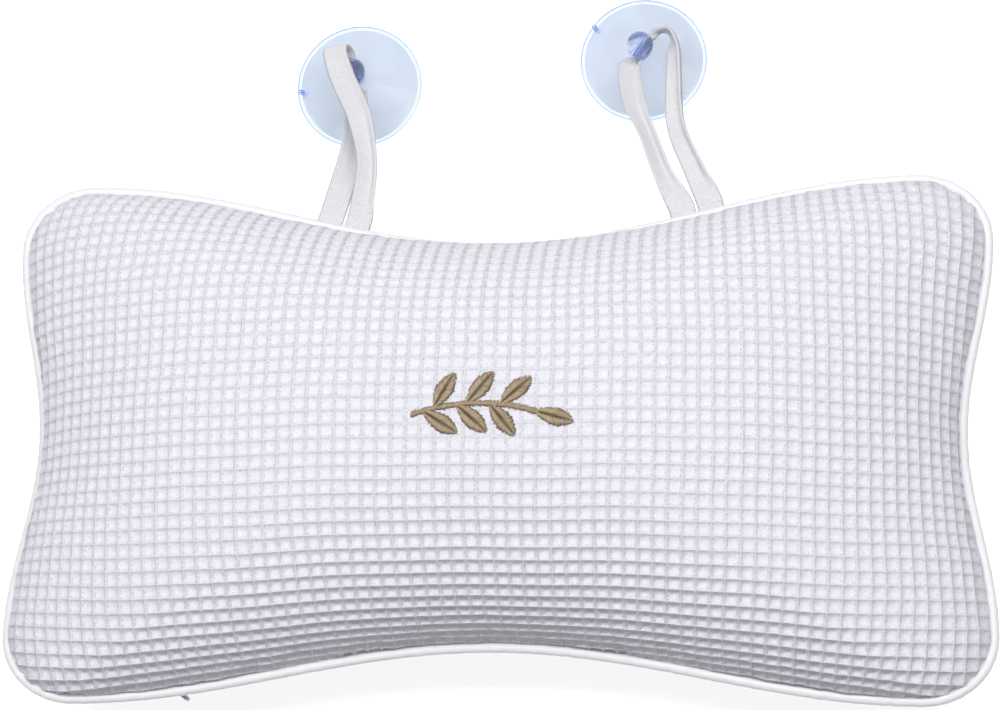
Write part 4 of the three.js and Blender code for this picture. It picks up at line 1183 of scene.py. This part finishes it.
def sprig_piece():
    """The sprig, thread by thread, on the crown of the front."""
    draw = np.random.default_rng(5)
    front, _ = cover_halves()
    fine = refine(front, 2)
    tree = BVHTree.FromPolygons(
        fine.reshape(-1, 3).tolist(), grid_faces(*fine.shape[:2], close_rows=True).tolist())
    radius, sides, steps = in_mm(settings().sprig.thread) / 2, 6, 7
    ring = circle(sides)[:, None]
    points, ends, tones, faces = [], [], [], []
    for k, (near, far) in enumerate(sprig_stitches(draw)):
        tones += [draw.uniform(0, 1)] * steps * sides
        faces.append(grid_faces(steps, sides, close_columns=True, start=k * steps * sides)[:, ::-1])
        way = far - near
        reach = max(np.linalg.norm(way), 0.05)
        beside = np.array([-way[1], way[0], 0]) / reach
        rise = min(STITCH_MOST, STITCH_RISE * reach + STITCH_LIFT)
        for part in np.linspace(0, 1, steps):
            x, y = near + way * part
            cloth = tree.ray_cast(Vector((x, y, 300)), DOWN)[0].z
            arch = math.sin(math.pi * part)
            centre = np.array([x, y, cloth + STITCH_LIFT + rise * arch ** STITCH_ROUND])
            thin = radius * (0.75 + 0.25 * arch)
            points.append(centre + thin * (np.cos(ring) * beside + np.sin(ring) * UP))
            # painted shade towards both ends of each stitch, none over its middle half
            ends += [max(0.0, 2 * abs(2 * part - 1) - 1)] * sides
    return add_piece(
        "embroidered_sprig_stitches", np.vstack(points), np.vstack(faces), thread_finish(),
        "cover", ["embroidered_sprig"], {"end": ends, "tone": tones})


# Piping


def seam_lengths(steps):
    """Lengths along the seam, from its start at the +X end."""
    return np.arange(steps) * SEAM_LENGTH / steps


def round_waves(*counts):
    """Wavelengths that fit so many times round the seam."""
    return tuple(SEAM_LENGTH / count for count in counts)


def beside_seam(steps, away, lift):
    """Points round the seam, at a distance out of its line and a lift above it."""
    seam, out = seam_line(steps)
    away, lift = np.broadcast_to(away, steps), np.broadcast_to(lift, steps)
    return np.column_stack([seam + out * away[:, None], in_mm(settings().cover.seam_height) + lift])


def piping_piece():
    """Satin folded round a cord and sewn into the seam, with fine slanted creases."""
    steps, sides = 1500, 14
    radius = in_mm(settings().cover.piping) / 2
    along = seam_lengths(steps)
    sway = PIPING_SWAY * wander(along, round_waves(9, 14, 23), 31)
    crease = PIPING_CREASE * (0.5 + 0.5 * wander(along, round_waves(37, 61), 33))
    close, wide = (TAU * along / wave for wave in round_waves(233, 149))
    upper, lower = ((-radius - FLANGE, sign * FLANGE_LIFT, sign * FLANGE_CLOTH) for sign in (1, -1))
    rows = [upper]
    for angle in np.linspace(math.pi - PIPING_OPEN, -math.pi + PIPING_OPEN, sides):
        size = radius + crease * (np.sin(close + 1.5 * angle) + np.sin(wide - 1.1 * angle + 1))
        rows.append((size * math.cos(angle), sway + size * math.sin(angle), radius * angle))
    rows.append(lower)
    grid = np.stack([beside_seam(steps, away, lift) for away, lift, _ in rows], 1)
    cloth = np.stack(np.broadcast_arrays(along[:, None], [across for *_, across in rows], 0.0), -1)
    faces = grid_faces(steps, len(rows), close_rows=True, close_columns=True)[:, ::-1]
    return add_piece(
        "piping_satin", grid.reshape(-1, 3), faces, satin_finish(), "cover", ["piping_cover"],
        {"cloth": cloth.reshape(-1, 3)})


def cord_piece():
    """Three-ply cord inside the piping."""
    steps, sides = 900, 12
    along = seam_lengths(steps)
    twist = TAU * along * CORD_TWISTS / SEAM_LENGTH
    rows = []
    for angle in circle(sides):
        size = CORD_R + CORD_PLY * np.cos(3 * angle + twist)
        rows.append(beside_seam(steps, size * math.cos(angle), size * math.sin(angle)))
    cloth = np.stack(np.broadcast_arrays(np.arange(sides) * 0.5, along[:, None], 0.0), -1)
    faces = grid_faces(steps, sides, close_rows=True, close_columns=True)
    return add_piece(
        "piping_twisted_cord", np.stack(rows, 1).reshape(-1, 3), faces, tape_finish(),
        "cover", ["piping_cord"], {"cloth": cloth.reshape(-1, 3)})


# Inner cushion


def inside_half(side, depth, inset, lump, seed):
    """Points and faces of one half of the inner case or of its filling."""
    c = settings().cover
    crown = in_mm(c.front_crown if side > 0 else c.back_crown)
    grid = refine(crown_grid(side, inset, INSIDE_RIM, crown - depth, depth), 2)
    points = grid.reshape(-1, 3)
    rough = wander(points[:, 0], (31.0, 47.0, 19.0), seed) * wander(points[:, 1], (37.0, 23.0), seed + 1)
    points = points - grid_normals(grid, side).reshape(-1, 3) * (lump * (0.5 + 0.5 * rough))[:, None]
    points[:, 2] = np.maximum(points[:, 2], depth)
    return points, grid_faces(*grid.shape[:2], close_rows=True)[:, ::side]


def inner_pieces():
    """The inner case's two halves and the fibre filling."""
    made = []
    for side, node in ((1, "inner_case_front"), (-1, "inner_case_back")):
        points, faces = inside_half(side, CASE_DEPTH, CASE_INSET, CASE_WRINKLE, 41 + side)
        made.append(add_piece(
            node + "_cloth", points, faces, liner_finish(), "cover", [node],
            {"cloth": points * (1, 1, 0)}))
    lump = in_mm(settings().inside.lump)
    front, back = (inside_half(side, FIBRE_DEPTH, FIBRE_INSET, lump, 51 + side) for side in (1, -1))
    points, faces = np.vstack([front[0], back[0]]), np.vstack([front[1], back[1] + len(front[0])])
    made.append(add_piece("fibre_filling", points, faces, fibre_finish(), "cover", ["filling"]))
    return made


# Zip


def on_zip(along, up, out):
    """Points at a length along the zip, a height up its face and a distance out of it."""
    along, up, out = np.broadcast_arrays(*(np.asarray(v, float) for v in (along, up, out)))
    turn = along / ZIP_R
    height = in_mm(settings().cover.seam_height) + ZIP_UP
    place = np.stack([
        ZIP_R * np.sin(turn), ZIP_R * (np.cos(turn) - 1) - ZIP_MID_Y, np.full(turn.shape, height)], -1)
    outward = np.stack([-np.sin(turn), -np.cos(turn), np.zeros(turn.shape)], -1)
    rise, lean = math.cos(ZIP_LEAN), math.sin(ZIP_LEAN)
    return (place + up[..., None] * (UP * rise + outward * lean)
            + out[..., None] * (outward * rise - UP * lean))


def zip_place(points):
    """Length along the zip and height up its face, for points near it."""
    ahead = points[..., 1] + ZIP_R + ZIP_MID_Y
    out = ZIP_R - np.hypot(points[..., 0], ahead)
    up = points[..., 2] - in_mm(settings().cover.seam_height) - ZIP_UP
    return ZIP_R * np.arctan2(points[..., 0], ahead), up * math.cos(ZIP_LEAN) + out * math.sin(ZIP_LEAN)


def zip_tape_piece(name, side, node):
    """Woven zip tape with a bound edge beside the coil and a row of stitches near the seam."""
    half_across, half_thick = np.array(TAPE_SECTION).T
    across = np.concatenate([half_across, half_across[::-1]])
    out = np.concatenate([half_thick, -half_thick[::-1]])
    slant = (ZIP_ARC_TOP - ZIP_ARC_BOTTOM) / (2 * ZIP_HALF_WIDTH)
    half_length = ZIP_ARC_BOTTOM + slant * (side * across + ZIP_HALF_WIDTH)
    along = np.linspace(-1, 1, 320)[:, None] * half_length
    tape = on_zip(along, side * across, out)
    cloth = np.stack(np.broadcast_arrays(across, along, 0.0), -1)
    faces = tube_faces(*along.shape)
    faces = flip(faces) if side > 0 else faces
    stitches, stitch_faces = stitch_row(side * SEWING_UP, along.size)
    return add_piece(
        name, np.vstack([tape.reshape(-1, 3), stitches]), faces + stitch_faces, tape_finish(),
        "cover", [node],
        {"cloth": np.vstack([cloth.reshape(-1, 3), np.zeros_like(stitches)])})


def stitch_row(up, start):
    """Sewing stitches along the zip: short lengths of thread that rise out of the tape and dive again."""
    sides, steps = 6, 5
    ring = circle(sides)
    t = np.linspace(-1, 1, steps)[:, None]
    out = SEWING_LIFT + SEWING_LIFT * (1 - t ** 2)
    end = ZIP_ARC_BOTTOM - SEWING_END
    points, faces = [], []
    for k, middle in enumerate(np.arange(-end, end, SEWING_PITCH)):
        points.append(on_zip(
            middle + SEWING_HALF * t, up + SEWING_R * np.cos(ring), out + SEWING_R * np.sin(ring)))
        faces.append(grid_faces(steps, sides, close_columns=True, start=start + k * steps * sides)[:, ::-1])
    return np.vstack(points).reshape(-1, 3), np.vstack(faces).tolist()


def zip_coil_piece(name, side, node):
    """One nylon row of the zip: a flattened coil whose turns lock with those of the other row."""
    z = settings().zip
    pitch, wire = in_mm(z.pitch), in_mm(z.wire) / 2
    turns = int(2 * COIL_END / pitch)
    per_turn, sides = 12, 5
    t = np.arange(turns * per_turn + 1) / per_turn
    end = COIL_END - wire
    half_wide, half_high = COIL_WIDTH / 2, COIL_HEIGHT / 2 - wire
    centre = np.stack([
        np.clip(-end + 2 * end * t / turns + (pitch / 4 if side < 0 else 0), -end, end),
        side * (COIL_GAP + half_wide - half_wide * np.cos(TAU * t)),
        COIL_BASE + COIL_HEIGHT / 2 + half_high * np.sin(TAU * t)], 1)
    ahead = unit(np.gradient(centre, axis=0))
    spread1 = unit(np.cross(ahead, (1.0, 0, 0)))
    spread2 = np.cross(ahead, spread1)
    ring = circle(sides)[:, None]
    local = centre[:, None] + wire * (np.cos(ring) * spread1[:, None] + np.sin(ring) * spread2[:, None])
    points = on_zip(*np.moveaxis(local, -1, 0)).reshape(-1, 3)
    return add_piece(
        name, points, tube_faces(len(t), sides), nylon_finish(), "cover", [node])


def cast_piece(name, node, body, finish, bevel):
    """A die-cast part of the zip: the solid with its edges rounded."""
    piece = bpy.data.objects.new(name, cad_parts[node].data.copy())
    piece.data.name = name
    bpy.context.scene.collection.objects.link(piece)
    weld = piece.modifiers.new("weld", "WELD")
    weld.merge_threshold = WELD * MM
    rounded = piece.modifiers.new("rounded", "BEVEL")
    rounded.width, rounded.segments, rounded.limit_method = bevel * MM, 3, "ANGLE"
    rounded.angle_limit = ROUNDED_FROM
    mesh = evaluated(piece)
    piece.modifiers.clear()
    piece.data = mesh
    mesh.name = name
    mesh.set_sharp_from_angle(angle=CAST_SHARP)
    bpy.context.scene.collection.objects.unlink(piece)
    return dress(piece, finish, body, [node])


# Straps and cups


def strap_root(strap):
    """Where a strap leaves the seam, with the directions along the seam and out of it."""
    s = settings()
    piping = in_mm(s.cover.piping) / 2
    seam, out = seam_line(4000)
    top = np.nonzero(seam[:, 1] > 0)[0]
    best = top[np.argmin(np.abs(seam[top, 0] + piping * out[top, 0] - strap["seam_x"]))]
    outward = np.array([*out[best], 0.0])
    along = np.array([out[best, 1], -out[best, 0], 0.0])
    away = piping + 2 * CLEARANCE + in_mm(s.straps.thick) / 2
    place = np.array([*seam[best], in_mm(s.cover.seam_height)])
    place = place + outward * away * math.cos(ROOT_ANGLE) - UP * away * math.sin(ROOT_ANGLE)
    return place, along, outward


def cup_place(strap):
    place, _, _ = strap_root(strap)
    return np.array([place[0] + strap["to_cup"][0], place[1] + strap["to_cup"][1], 0.0])


def strap_route(strap):
    """Points of the tape from one sewn end to the other, each with its form and its broad direction."""
    s = settings().straps
    wide, thin = in_mm(s.width), in_mm(s.thick)
    place, along, out = strap_root(strap)
    hole = cup_place(strap) + UP * HOLE_HEIGHT
    angle = math.radians(strap["peg_angle"]) - math.pi / 2
    through = np.array([math.cos(angle), math.sin(angle), 0.0])
    aside = np.cross(UP, through) * strap["back_side"]
    bunch = (2 * HOLE_R - 2 * BUNCH_EASE) / math.sqrt(2)

    def from_hole(far, beside, lift):
        return hole + through * far + aside * beside + UP * lift

    def on_leg(end, goal, point):
        return end + (goal - end) * point[0] + along * point[1] + UP * point[2]

    def sewn(side):
        """A sewn end of the tape and the point just out of it."""
        end = place + along * side * (wide + ROOT_GAP) / 2
        return [(end, wide, thin, 0, 0), (end + out * wide / 2 - UP * wide / 6, wide, thin, 0, ROOT_FOLD)]

    near, far = sewn(strap["near_side"]), sewn(-strap["near_side"])
    entry, last_turn = from_hole(-2 * NECK_R, 0, 0), from_hole(*strap["turn"][-1][:3])
    stops = near + [(on_leg(near[0][0], entry, p), wide, thin, *p[3:]) for p in strap["near_leg"]]
    stops += [(from_hole(-MOUTH, 0, MOUTH_LIFT), MOUTH_WIDTH, thin, 0, MOUTH_FOLD)]
    stops += [(from_hole(part * NECK_R, 0, 0), bunch, bunch, 0, 0) for part in THROUGH_HOLE]
    stops += [(from_hole(*p[:3]), *p[3:]) for p in strap["turn"]]
    stops += [(on_leg(far[0][0], last_turn, p), wide, thin, *p[3:]) for p in reversed(strap["far_leg"])]
    stops += reversed(far)
    places = np.array([stop[0] for stop in stops])
    forms = np.array([[stop[1], stop[2], math.radians(stop[4])] for stop in stops])
    broads = []
    for k, stop in enumerate(stops):
        back, on = route_at(places, (k + np.array([-0.01, 0.01])) / (len(stops) - 1))
        level = unit(np.cross(UP, on - back))
        steep = np.cross(unit(on - back), level)
        turn = math.radians(stop[3] or 0)
        broad = aside if stop[3] is None else level * math.cos(turn) + steep * math.sin(turn)
        broads.append(-broad if broads and broad @ broads[-1] < 0 else broad)
    return places, forms, np.array(broads), out


def tape_fold(fold, broad, narrow, line):
    """Ways across and up the section of a tape folded lengthwise, in half widths, and the lean there."""
    right, up = np.tanh(FOLD_TURN * broad[:, :1]), np.tanh(FOLD_TURN * narrow[:, 2:])
    bend = np.tanh((line - FOLD_PLACE * right) / FOLD_SPREAD)
    lean = fold * (bend * (1 + FOLD_FLAT) / 2 + right * (1 - FOLD_FLAT) / 2)
    half_step = 1 / (len(line) - 1)
    over, rise = (np.pad(np.cumsum((part[:, 1:] + part[:, :-1]) * half_step, 1), ((0, 0), (1, 0)))
                  for part in (np.cos(lean), np.sin(lean)))
    over -= (over[:, :1] + over[:, -1:]) / 2
    return over, (rise - rise.mean(1, keepdims=True)) * up, lean * up


def tape_thickness(across, along, gathered):
    """Share of the tape's thickness across it and along it, flat or gathered into a bunch."""
    from_middle = np.abs(across)
    edges = 1 + sum(size * np.exp(-((from_middle - at) / spread) ** 2) for size, at, spread in SELVEDGE)
    flat = edges * np.maximum(1 - from_middle ** EDGE_POWER, 0) ** 0.5
    folds = 1 + GATHER_DEPTH * np.cos(across * GATHER_FOLDS * math.pi)
    bunch = folds * np.maximum(1 - from_middle ** OVAL_POWER, 0) ** (1 / OVAL_POWER)
    ribs = np.sin(TAU * along / RIB_PITCH) + RIB_UNEVEN * wander(along, (0.61, 2.3), 63)
    return between(flat, bunch, gathered) * (1 + RIB_DEPTH * ribs[:, None] * (1 - gathered))


def strap_piece(side):
    """A loop of cotton tape, folded lengthwise and gathered where it passes through its cup."""
    strap = STRAPS[side]
    tape = in_mm(settings().straps.width)
    places, forms, broads, out = strap_route(strap)
    steps, lines = 800, 17
    shares = np.linspace(0, 1, steps)
    centre, form = route_at(places, shares), route_at(forms, shares)
    ahead = unit(np.gradient(centre, axis=0))
    broad = route_at(broads, shares)
    broad = unit(broad - ahead * (broad * ahead).sum(1)[:, None])
    narrow = np.cross(ahead, broad)
    wide, thin, fold = form.T[..., None]
    along = travelled(centre)
    gathered = smooth_step((tape - wide) / (tape - GATHERED_WIDTH))
    line = np.linspace(-1, 1, lines)
    loop = np.concatenate([np.arange(lines), np.arange(lines)[-2:0:-1]])
    face = np.concatenate([np.ones(lines), -np.ones(lines - 2)])
    face[[0, lines - 1]] = 0
    across = line[loop]
    over, rise, lean = (part[:, loop] for part in tape_fold(fold, broad, narrow, line))
    raised = tape_thickness(across, along, gathered) * face * thin / 2
    bow = CURL * wander(along, (23.0, 13.0), 61)[:, None] * np.cos(across * 2.2)
    narrowing = smooth_step((tape - wide) / MOUTH_CURL_FADE) * (1 - gathered)
    bow = bow + MOUTH_CURL * np.sin(across * 7 + 1) * narrowing
    grid = (centre[:, None] + broad[:, None] * (over * wide / 2 - np.sin(lean) * raised)[..., None]
            + narrow[:, None] * (rise * wide / 2 + np.cos(lean) * raised + bow)[..., None])
    cloth = np.stack(np.broadcast_arrays(across * tape / 2 + tape, along[:, None], 0.0), -1)
    node = "strap_" + side
    piece = add_piece(
        node + "_tape", grid.reshape(-1, 3), flip(tube_faces(steps, len(loop))), tape_finish(),
        None, [node], {"cloth": cloth.reshape(-1, 3)})
    root, _, _ = strap_root(strap)
    tuple((root - out * 1.0) * MM)
    tuple((root + out * 9.0) * MM)
    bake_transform(piece)
    return piece


def cup_profile():
    """Radius and height down the surface of a suction cup, from the middle of its hollow to the ball."""
    lip = in_mm(settings().straps.cup) / 2
    inside = lip - CUP_LIP
    dome = (inside ** 2 + CUP_HOLLOW ** 2) / (2 * CUP_HOLLOW)
    profile = [(a, CUP_HOLLOW - dome + math.sqrt(dome ** 2 - a ** 2)) for a in np.linspace(0.0, inside, 16)]
    profile += [(lip + out, up) for out, up in LIP_EDGE]
    edge, rim = profile[-1]
    for t in np.linspace(0.0, 1.0, 10)[1:]:
        sag = DISH_SAG * math.sin(math.pi * t)
        profile.append((edge * (1 - t) + SHOULDER_R * t, rim * (1 - t) + SHOULDER_HEIGHT * t - sag))
    for t in np.linspace(0, math.pi / 2, 6)[1:]:
        profile.append((SHOULDER_R - (SHOULDER_R - NECK_R) * math.sin(t),
                        SHOULDER_HEIGHT + NECK_FILLET * (1 - math.cos(t))))
    for angle in np.linspace(-math.acos(NECK_R / BALL_R), math.pi / 2, 16):
        profile.append((BALL_R * math.cos(angle), BALL_HEIGHT + BALL_R * math.sin(angle)))
    return np.array(profile)


def turned(profile, steps):
    """A closed surface turned round the Z axis; the profile starts and ends on the axis."""
    angle = circle(steps)[:, None]
    radius, height = profile[1:-1].T
    rows = np.stack(np.broadcast_arrays(radius * np.cos(angle), radius * np.sin(angle), height), -1)
    points = np.vstack([rows.reshape(-1, 3), [(0, 0, profile[0, 1]), (0, 0, profile[-1, 1])]])
    faces = grid_faces(steps, len(radius), close_rows=True).tolist()
    low = np.arange(steps) * len(radius)
    high = low + len(radius) - 1
    first, last = len(points) - 2, len(points) - 1
    for tip, one, other in ((first, np.roll(low, -1), low), (last, high, np.roll(high, -1))):
        faces += [[tip, a, b] for a, b in zip(one.tolist(), other.tolist())]
    return points, faces


def rod(radius, low, high, steps, round_=0.0):
    """A turned rod with a rounded upper end."""
    profile = [(0, low), (radius, low), (radius, high - round_)]
    profile += [(radius - round_ * (1 - math.cos(t)), high - round_ * (1 - math.sin(t)))
                for t in np.linspace(0, math.pi / 2, 5)[1:]]
    profile.append((0, high))
    return turned(np.array(profile, float), steps)


def cup_piece(side):
    """A clear suction cup, moulded in one piece, with its cross hole and release peg."""
    strap = STRAPS[side]
    lip = in_mm(settings().straps.cup) / 2
    peg_points, peg_faces = rod(PEG_R, PEG_FOOT, PEG_TOP, 20, PEG_ROUND)
    peg_points[:, 0] += lip - PEG_INSET + (peg_points[:, 2] - PEG_FOOT) * PEG_LEAN
    drill_points, drill_faces = rod(HOLE_R, -2 * NECK_R, 2 * NECK_R, 40)
    x, y, z = drill_points.T
    drill_points = np.stack([x, z, HOLE_HEIGHT - y], 1)
    helpers = []
    for name, points, faces in (
            ("moulding", *turned(cup_profile(), 112)), ("peg", peg_points, peg_faces),
            ("drill", drill_points, drill_faces)):
        helper = bpy.data.objects.new(name, new_mesh(name, points, faces))
        bpy.context.scene.collection.objects.link(helper)
        helpers.append(helper)
    moulding, peg, drill = helpers
    for tool, operation in ((peg, "UNION"), (drill, "DIFFERENCE")):
        step = moulding.modifiers.new(operation, "BOOLEAN")
        step.object, step.operation, step.solver = tool, operation, "EXACT"
    mesh = evaluated(moulding)
    for helper in helpers:
        bpy.data.objects.remove(helper)
    x, y, z = mesh_points(mesh).T / MM
    radius = np.hypot(x, y)
    ball = BALL_TINT * smooth_step((z - BALL_TINT_FROM) / BALL_TINT_FADE) * (radius < BALL_TINT_R)
    rim = LIP_TINT * smooth_step(radius - lip + LIP_TINT_WIDTH)
    from_peg = np.hypot(x - lip + PEG_INSET - PEG_LEAN * (z - PEG_FOOT), y)
    give(mesh, "thick", np.maximum(np.maximum(ball, rim), from_peg < PEG_R + PEG_TINT_MARGIN))
    place = Matrix.Translation(Vector(cup_place(strap) * MM))
    mesh.transform(place @ Matrix.Rotation(math.radians(strap["peg_angle"]), 4, "Z"))
    mesh.shade_smooth()
    mesh.set_sharp_from_angle(angle=CUP_SHARP)
    node = "suction_cup_" + side
    mesh.name = node + "_moulding"
    piece = bpy.data.objects.new(mesh.name, mesh)
    return dress(piece, pvc_finish(), "cup_" + side, [node])


# Operators


class PILLOW_OT_camera(bpy.types.Operator):
    """Set the camera at the photograph's viewing angle"""

    bl_idname = "pillow.camera"
    bl_label = "Camera"

    def execute(self, context):
        data = bpy.data.cameras.new("camera")
        data.lens, data.sensor_width = settings().stage.lens, SENSOR
        data.clip_start, data.clip_end = CAMERA_REACH
        camera = bpy.data.objects.new("camera", data)
        turn = Matrix(CAMERA_AXES).transposed().to_4x4()
        camera.matrix_world = Matrix.Translation(CAMERA_PLACE) @ turn
        context.scene.collection.objects.link(camera)
        context.scene.camera = camera
        return {"FINISHED"}


class PILLOW_OT_cups(bpy.types.Operator):
    """Make the clear suction cups"""

    bl_idname = "pillow.cups"
    bl_label = "Suction cups"

    def execute(self, context):
        for side in STRAPS:
            cup_piece(side)
        return {"FINISHED"}


class PILLOW_OT_straps(bpy.types.Operator):
    """Make the tape loops that carry the cups"""

    bl_idname = "pillow.straps"
    bl_label = "Tape loops"

    def execute(self, context):
        for side in STRAPS:
            strap_piece(side)
        return {"FINISHED"}


class PILLOW_OT_cover(bpy.types.Operator):
    """Fill the cover and lay the waffle cloth of its front and back"""

    bl_idname = "pillow.cover"
    bl_label = "Waffle cover"

    def execute(self, context):
        front, back = cover_halves()
        for name, grid, side in (("front_panel", front, 1), ("back_panel", back, -1)):
            waffle_panel(name + "_waffle", grid, side, name)
        return {"FINISHED"}


class PILLOW_OT_piping(bpy.types.Operator):
    """Sew the satin piping and its cord into the seam"""

    bl_idname = "pillow.piping"
    bl_label = "Piping"

    def execute(self, context):
        piping_piece()
        cord_piece()
        return {"FINISHED"}


class PILLOW_OT_sprig(bpy.types.Operator):
    """Embroider the sprig in satin stitch"""

    bl_idname = "pillow.sprig"
    bl_label = "Embroidered sprig"

    def execute(self, context):
        sprig_piece()
        return {"FINISHED"}


class PILLOW_OT_inside(bpy.types.Operator):
    """Make the inner case and its fibre filling"""

    bl_idname = "pillow.inside"
    bl_label = "Inner cushion"

    def execute(self, context):
        *_, filling = inner_pieces()
        return {"FINISHED"}


class PILLOW_OT_zip(bpy.types.Operator):
    """Make the zip: tapes, coils, stops, slider and pull"""

    bl_idname = "pillow.zip"
    bl_label = "Zip"

    def execute(self, context):
        for half, side in (("front", 1), ("back", -1)):
            zip_tape_piece("zip_tape_" + half + "_woven", side, "zip_tape_" + half)
            zip_coil_piece("zip_coil_" + half + "_turns", side, "zip_coil_" + half)
        for node in ("zip_top_stop", "zip_bottom_stop"):
            cast_piece(node + "_clip", node, "cover", slider_finish(), STOP_BEVEL)
        cast_piece(
            "zip_slider_cast", "zip_slider", "zip_slider", slider_finish(), SLIDER_BEVEL)
        cast_piece("zip_pull_cast", "zip_pull", "zip_pull", pull_finish(), PULL_BEVEL)
        return {"FINISHED"}


class PILLOW_OT_stage(bpy.types.Operator):
    """Set the floor and the soft light"""

    bl_idname = "pillow.stage"
    bl_label = "Stage"

    def execute(self, context):
        s = settings().stage
        scene = context.scene
        tint = tuple(s.floor)
        f = Finish("floor", roughness=0.9, specular_ior_level=0.1, emission_color=rgba(tint),
                   emission_strength=FLOOR_GLOW)
        corners = np.array([(-1, -1, 0), (1, -1, 0), (1, 1, 0), (-1, 1, 0)]) * FLOOR_HALF / MM
        mesh = new_mesh("floor", corners, [[0, 1, 2, 3]])
        mesh.materials.append(f.set(base_color=f.mix(f.noise(3.0) * 0.1, tint, scaled(tint, 0.98))))
        floor = bpy.data.objects.new("floor", mesh)
        floor.visible_diffuse = False
        scene.collection.objects.link(floor)
        for name, energy, depth, place in (
                ("key", s.key, KEY_DEPTH, KEY_PLACE), ("fill", s.fill, FILL_DEPTH, FILL_PLACE)):
            data = bpy.data.lights.new(name, "AREA")
            data.energy, data.shape, data.size, data.size_y = energy, "RECTANGLE", LAMP_WIDTH, depth
            lamp = bpy.data.objects.new(name, data)
            lamp.location = place
            lamp.rotation_euler = (LAMP_AIM - place).to_track_quat("-Z", "Y").to_euler()
            scene.collection.objects.link(lamp)
        world = bpy.data.worlds.new("sky")
        world.use_nodes = True
        background = world.node_tree.nodes["Background"]
        background.inputs["Color"].default_value = (1.0, 1.0, 1.0, 1.0)
        background.inputs["Strength"].default_value = s.sky
        scene.world = world
        scene.view_settings.view_transform = "Standard"
        return {"FINISHED"}


class PILLOW_PT_panel(bpy.types.Panel):
    """Steps of the bath pillow"""

    bl_idname = "PILLOW_PT_panel"
    bl_label = "Bath Pillow"
    bl_space_type = "VIEW_3D"
    bl_region_type = "UI"
    bl_category = "Bath Pillow"

    def draw(self, context):
        for step in STEPS:
            self.layout.operator(step.bl_idname)


GROUPS = (CoverSettings, StrapSettings, ZipSettings, SprigSettings, InsideSettings, StageSettings,
          BathPillowSettings)
STEPS = (PILLOW_OT_camera, PILLOW_OT_cups, PILLOW_OT_straps, PILLOW_OT_cover, PILLOW_OT_piping,
         PILLOW_OT_sprig, PILLOW_OT_inside, PILLOW_OT_zip, PILLOW_OT_stage)


def register():
    for group in (*GROUPS, *STEPS, PILLOW_PT_panel):
        bpy.utils.register_class(group)
    bpy.types.Scene.bath_pillow = bpy.props.PointerProperty(type=BathPillowSettings)


def unregister():
    del bpy.types.Scene.bath_pillow
    for group in reversed((*GROUPS, *STEPS, PILLOW_PT_panel)):
        bpy.utils.unregister_class(group)


def main():
    register()
    bpy.ops.pillow.camera()
    bpy.ops.pillow.cups()
    bpy.ops.pillow.straps()
    bpy.ops.pillow.cover()
    bpy.ops.pillow.piping()
    bpy.ops.pillow.sprig()
    bpy.ops.pillow.inside()
    bpy.ops.pillow.zip()
    bpy.ops.pillow.stage()


if __name__ == "__main__":
    main()
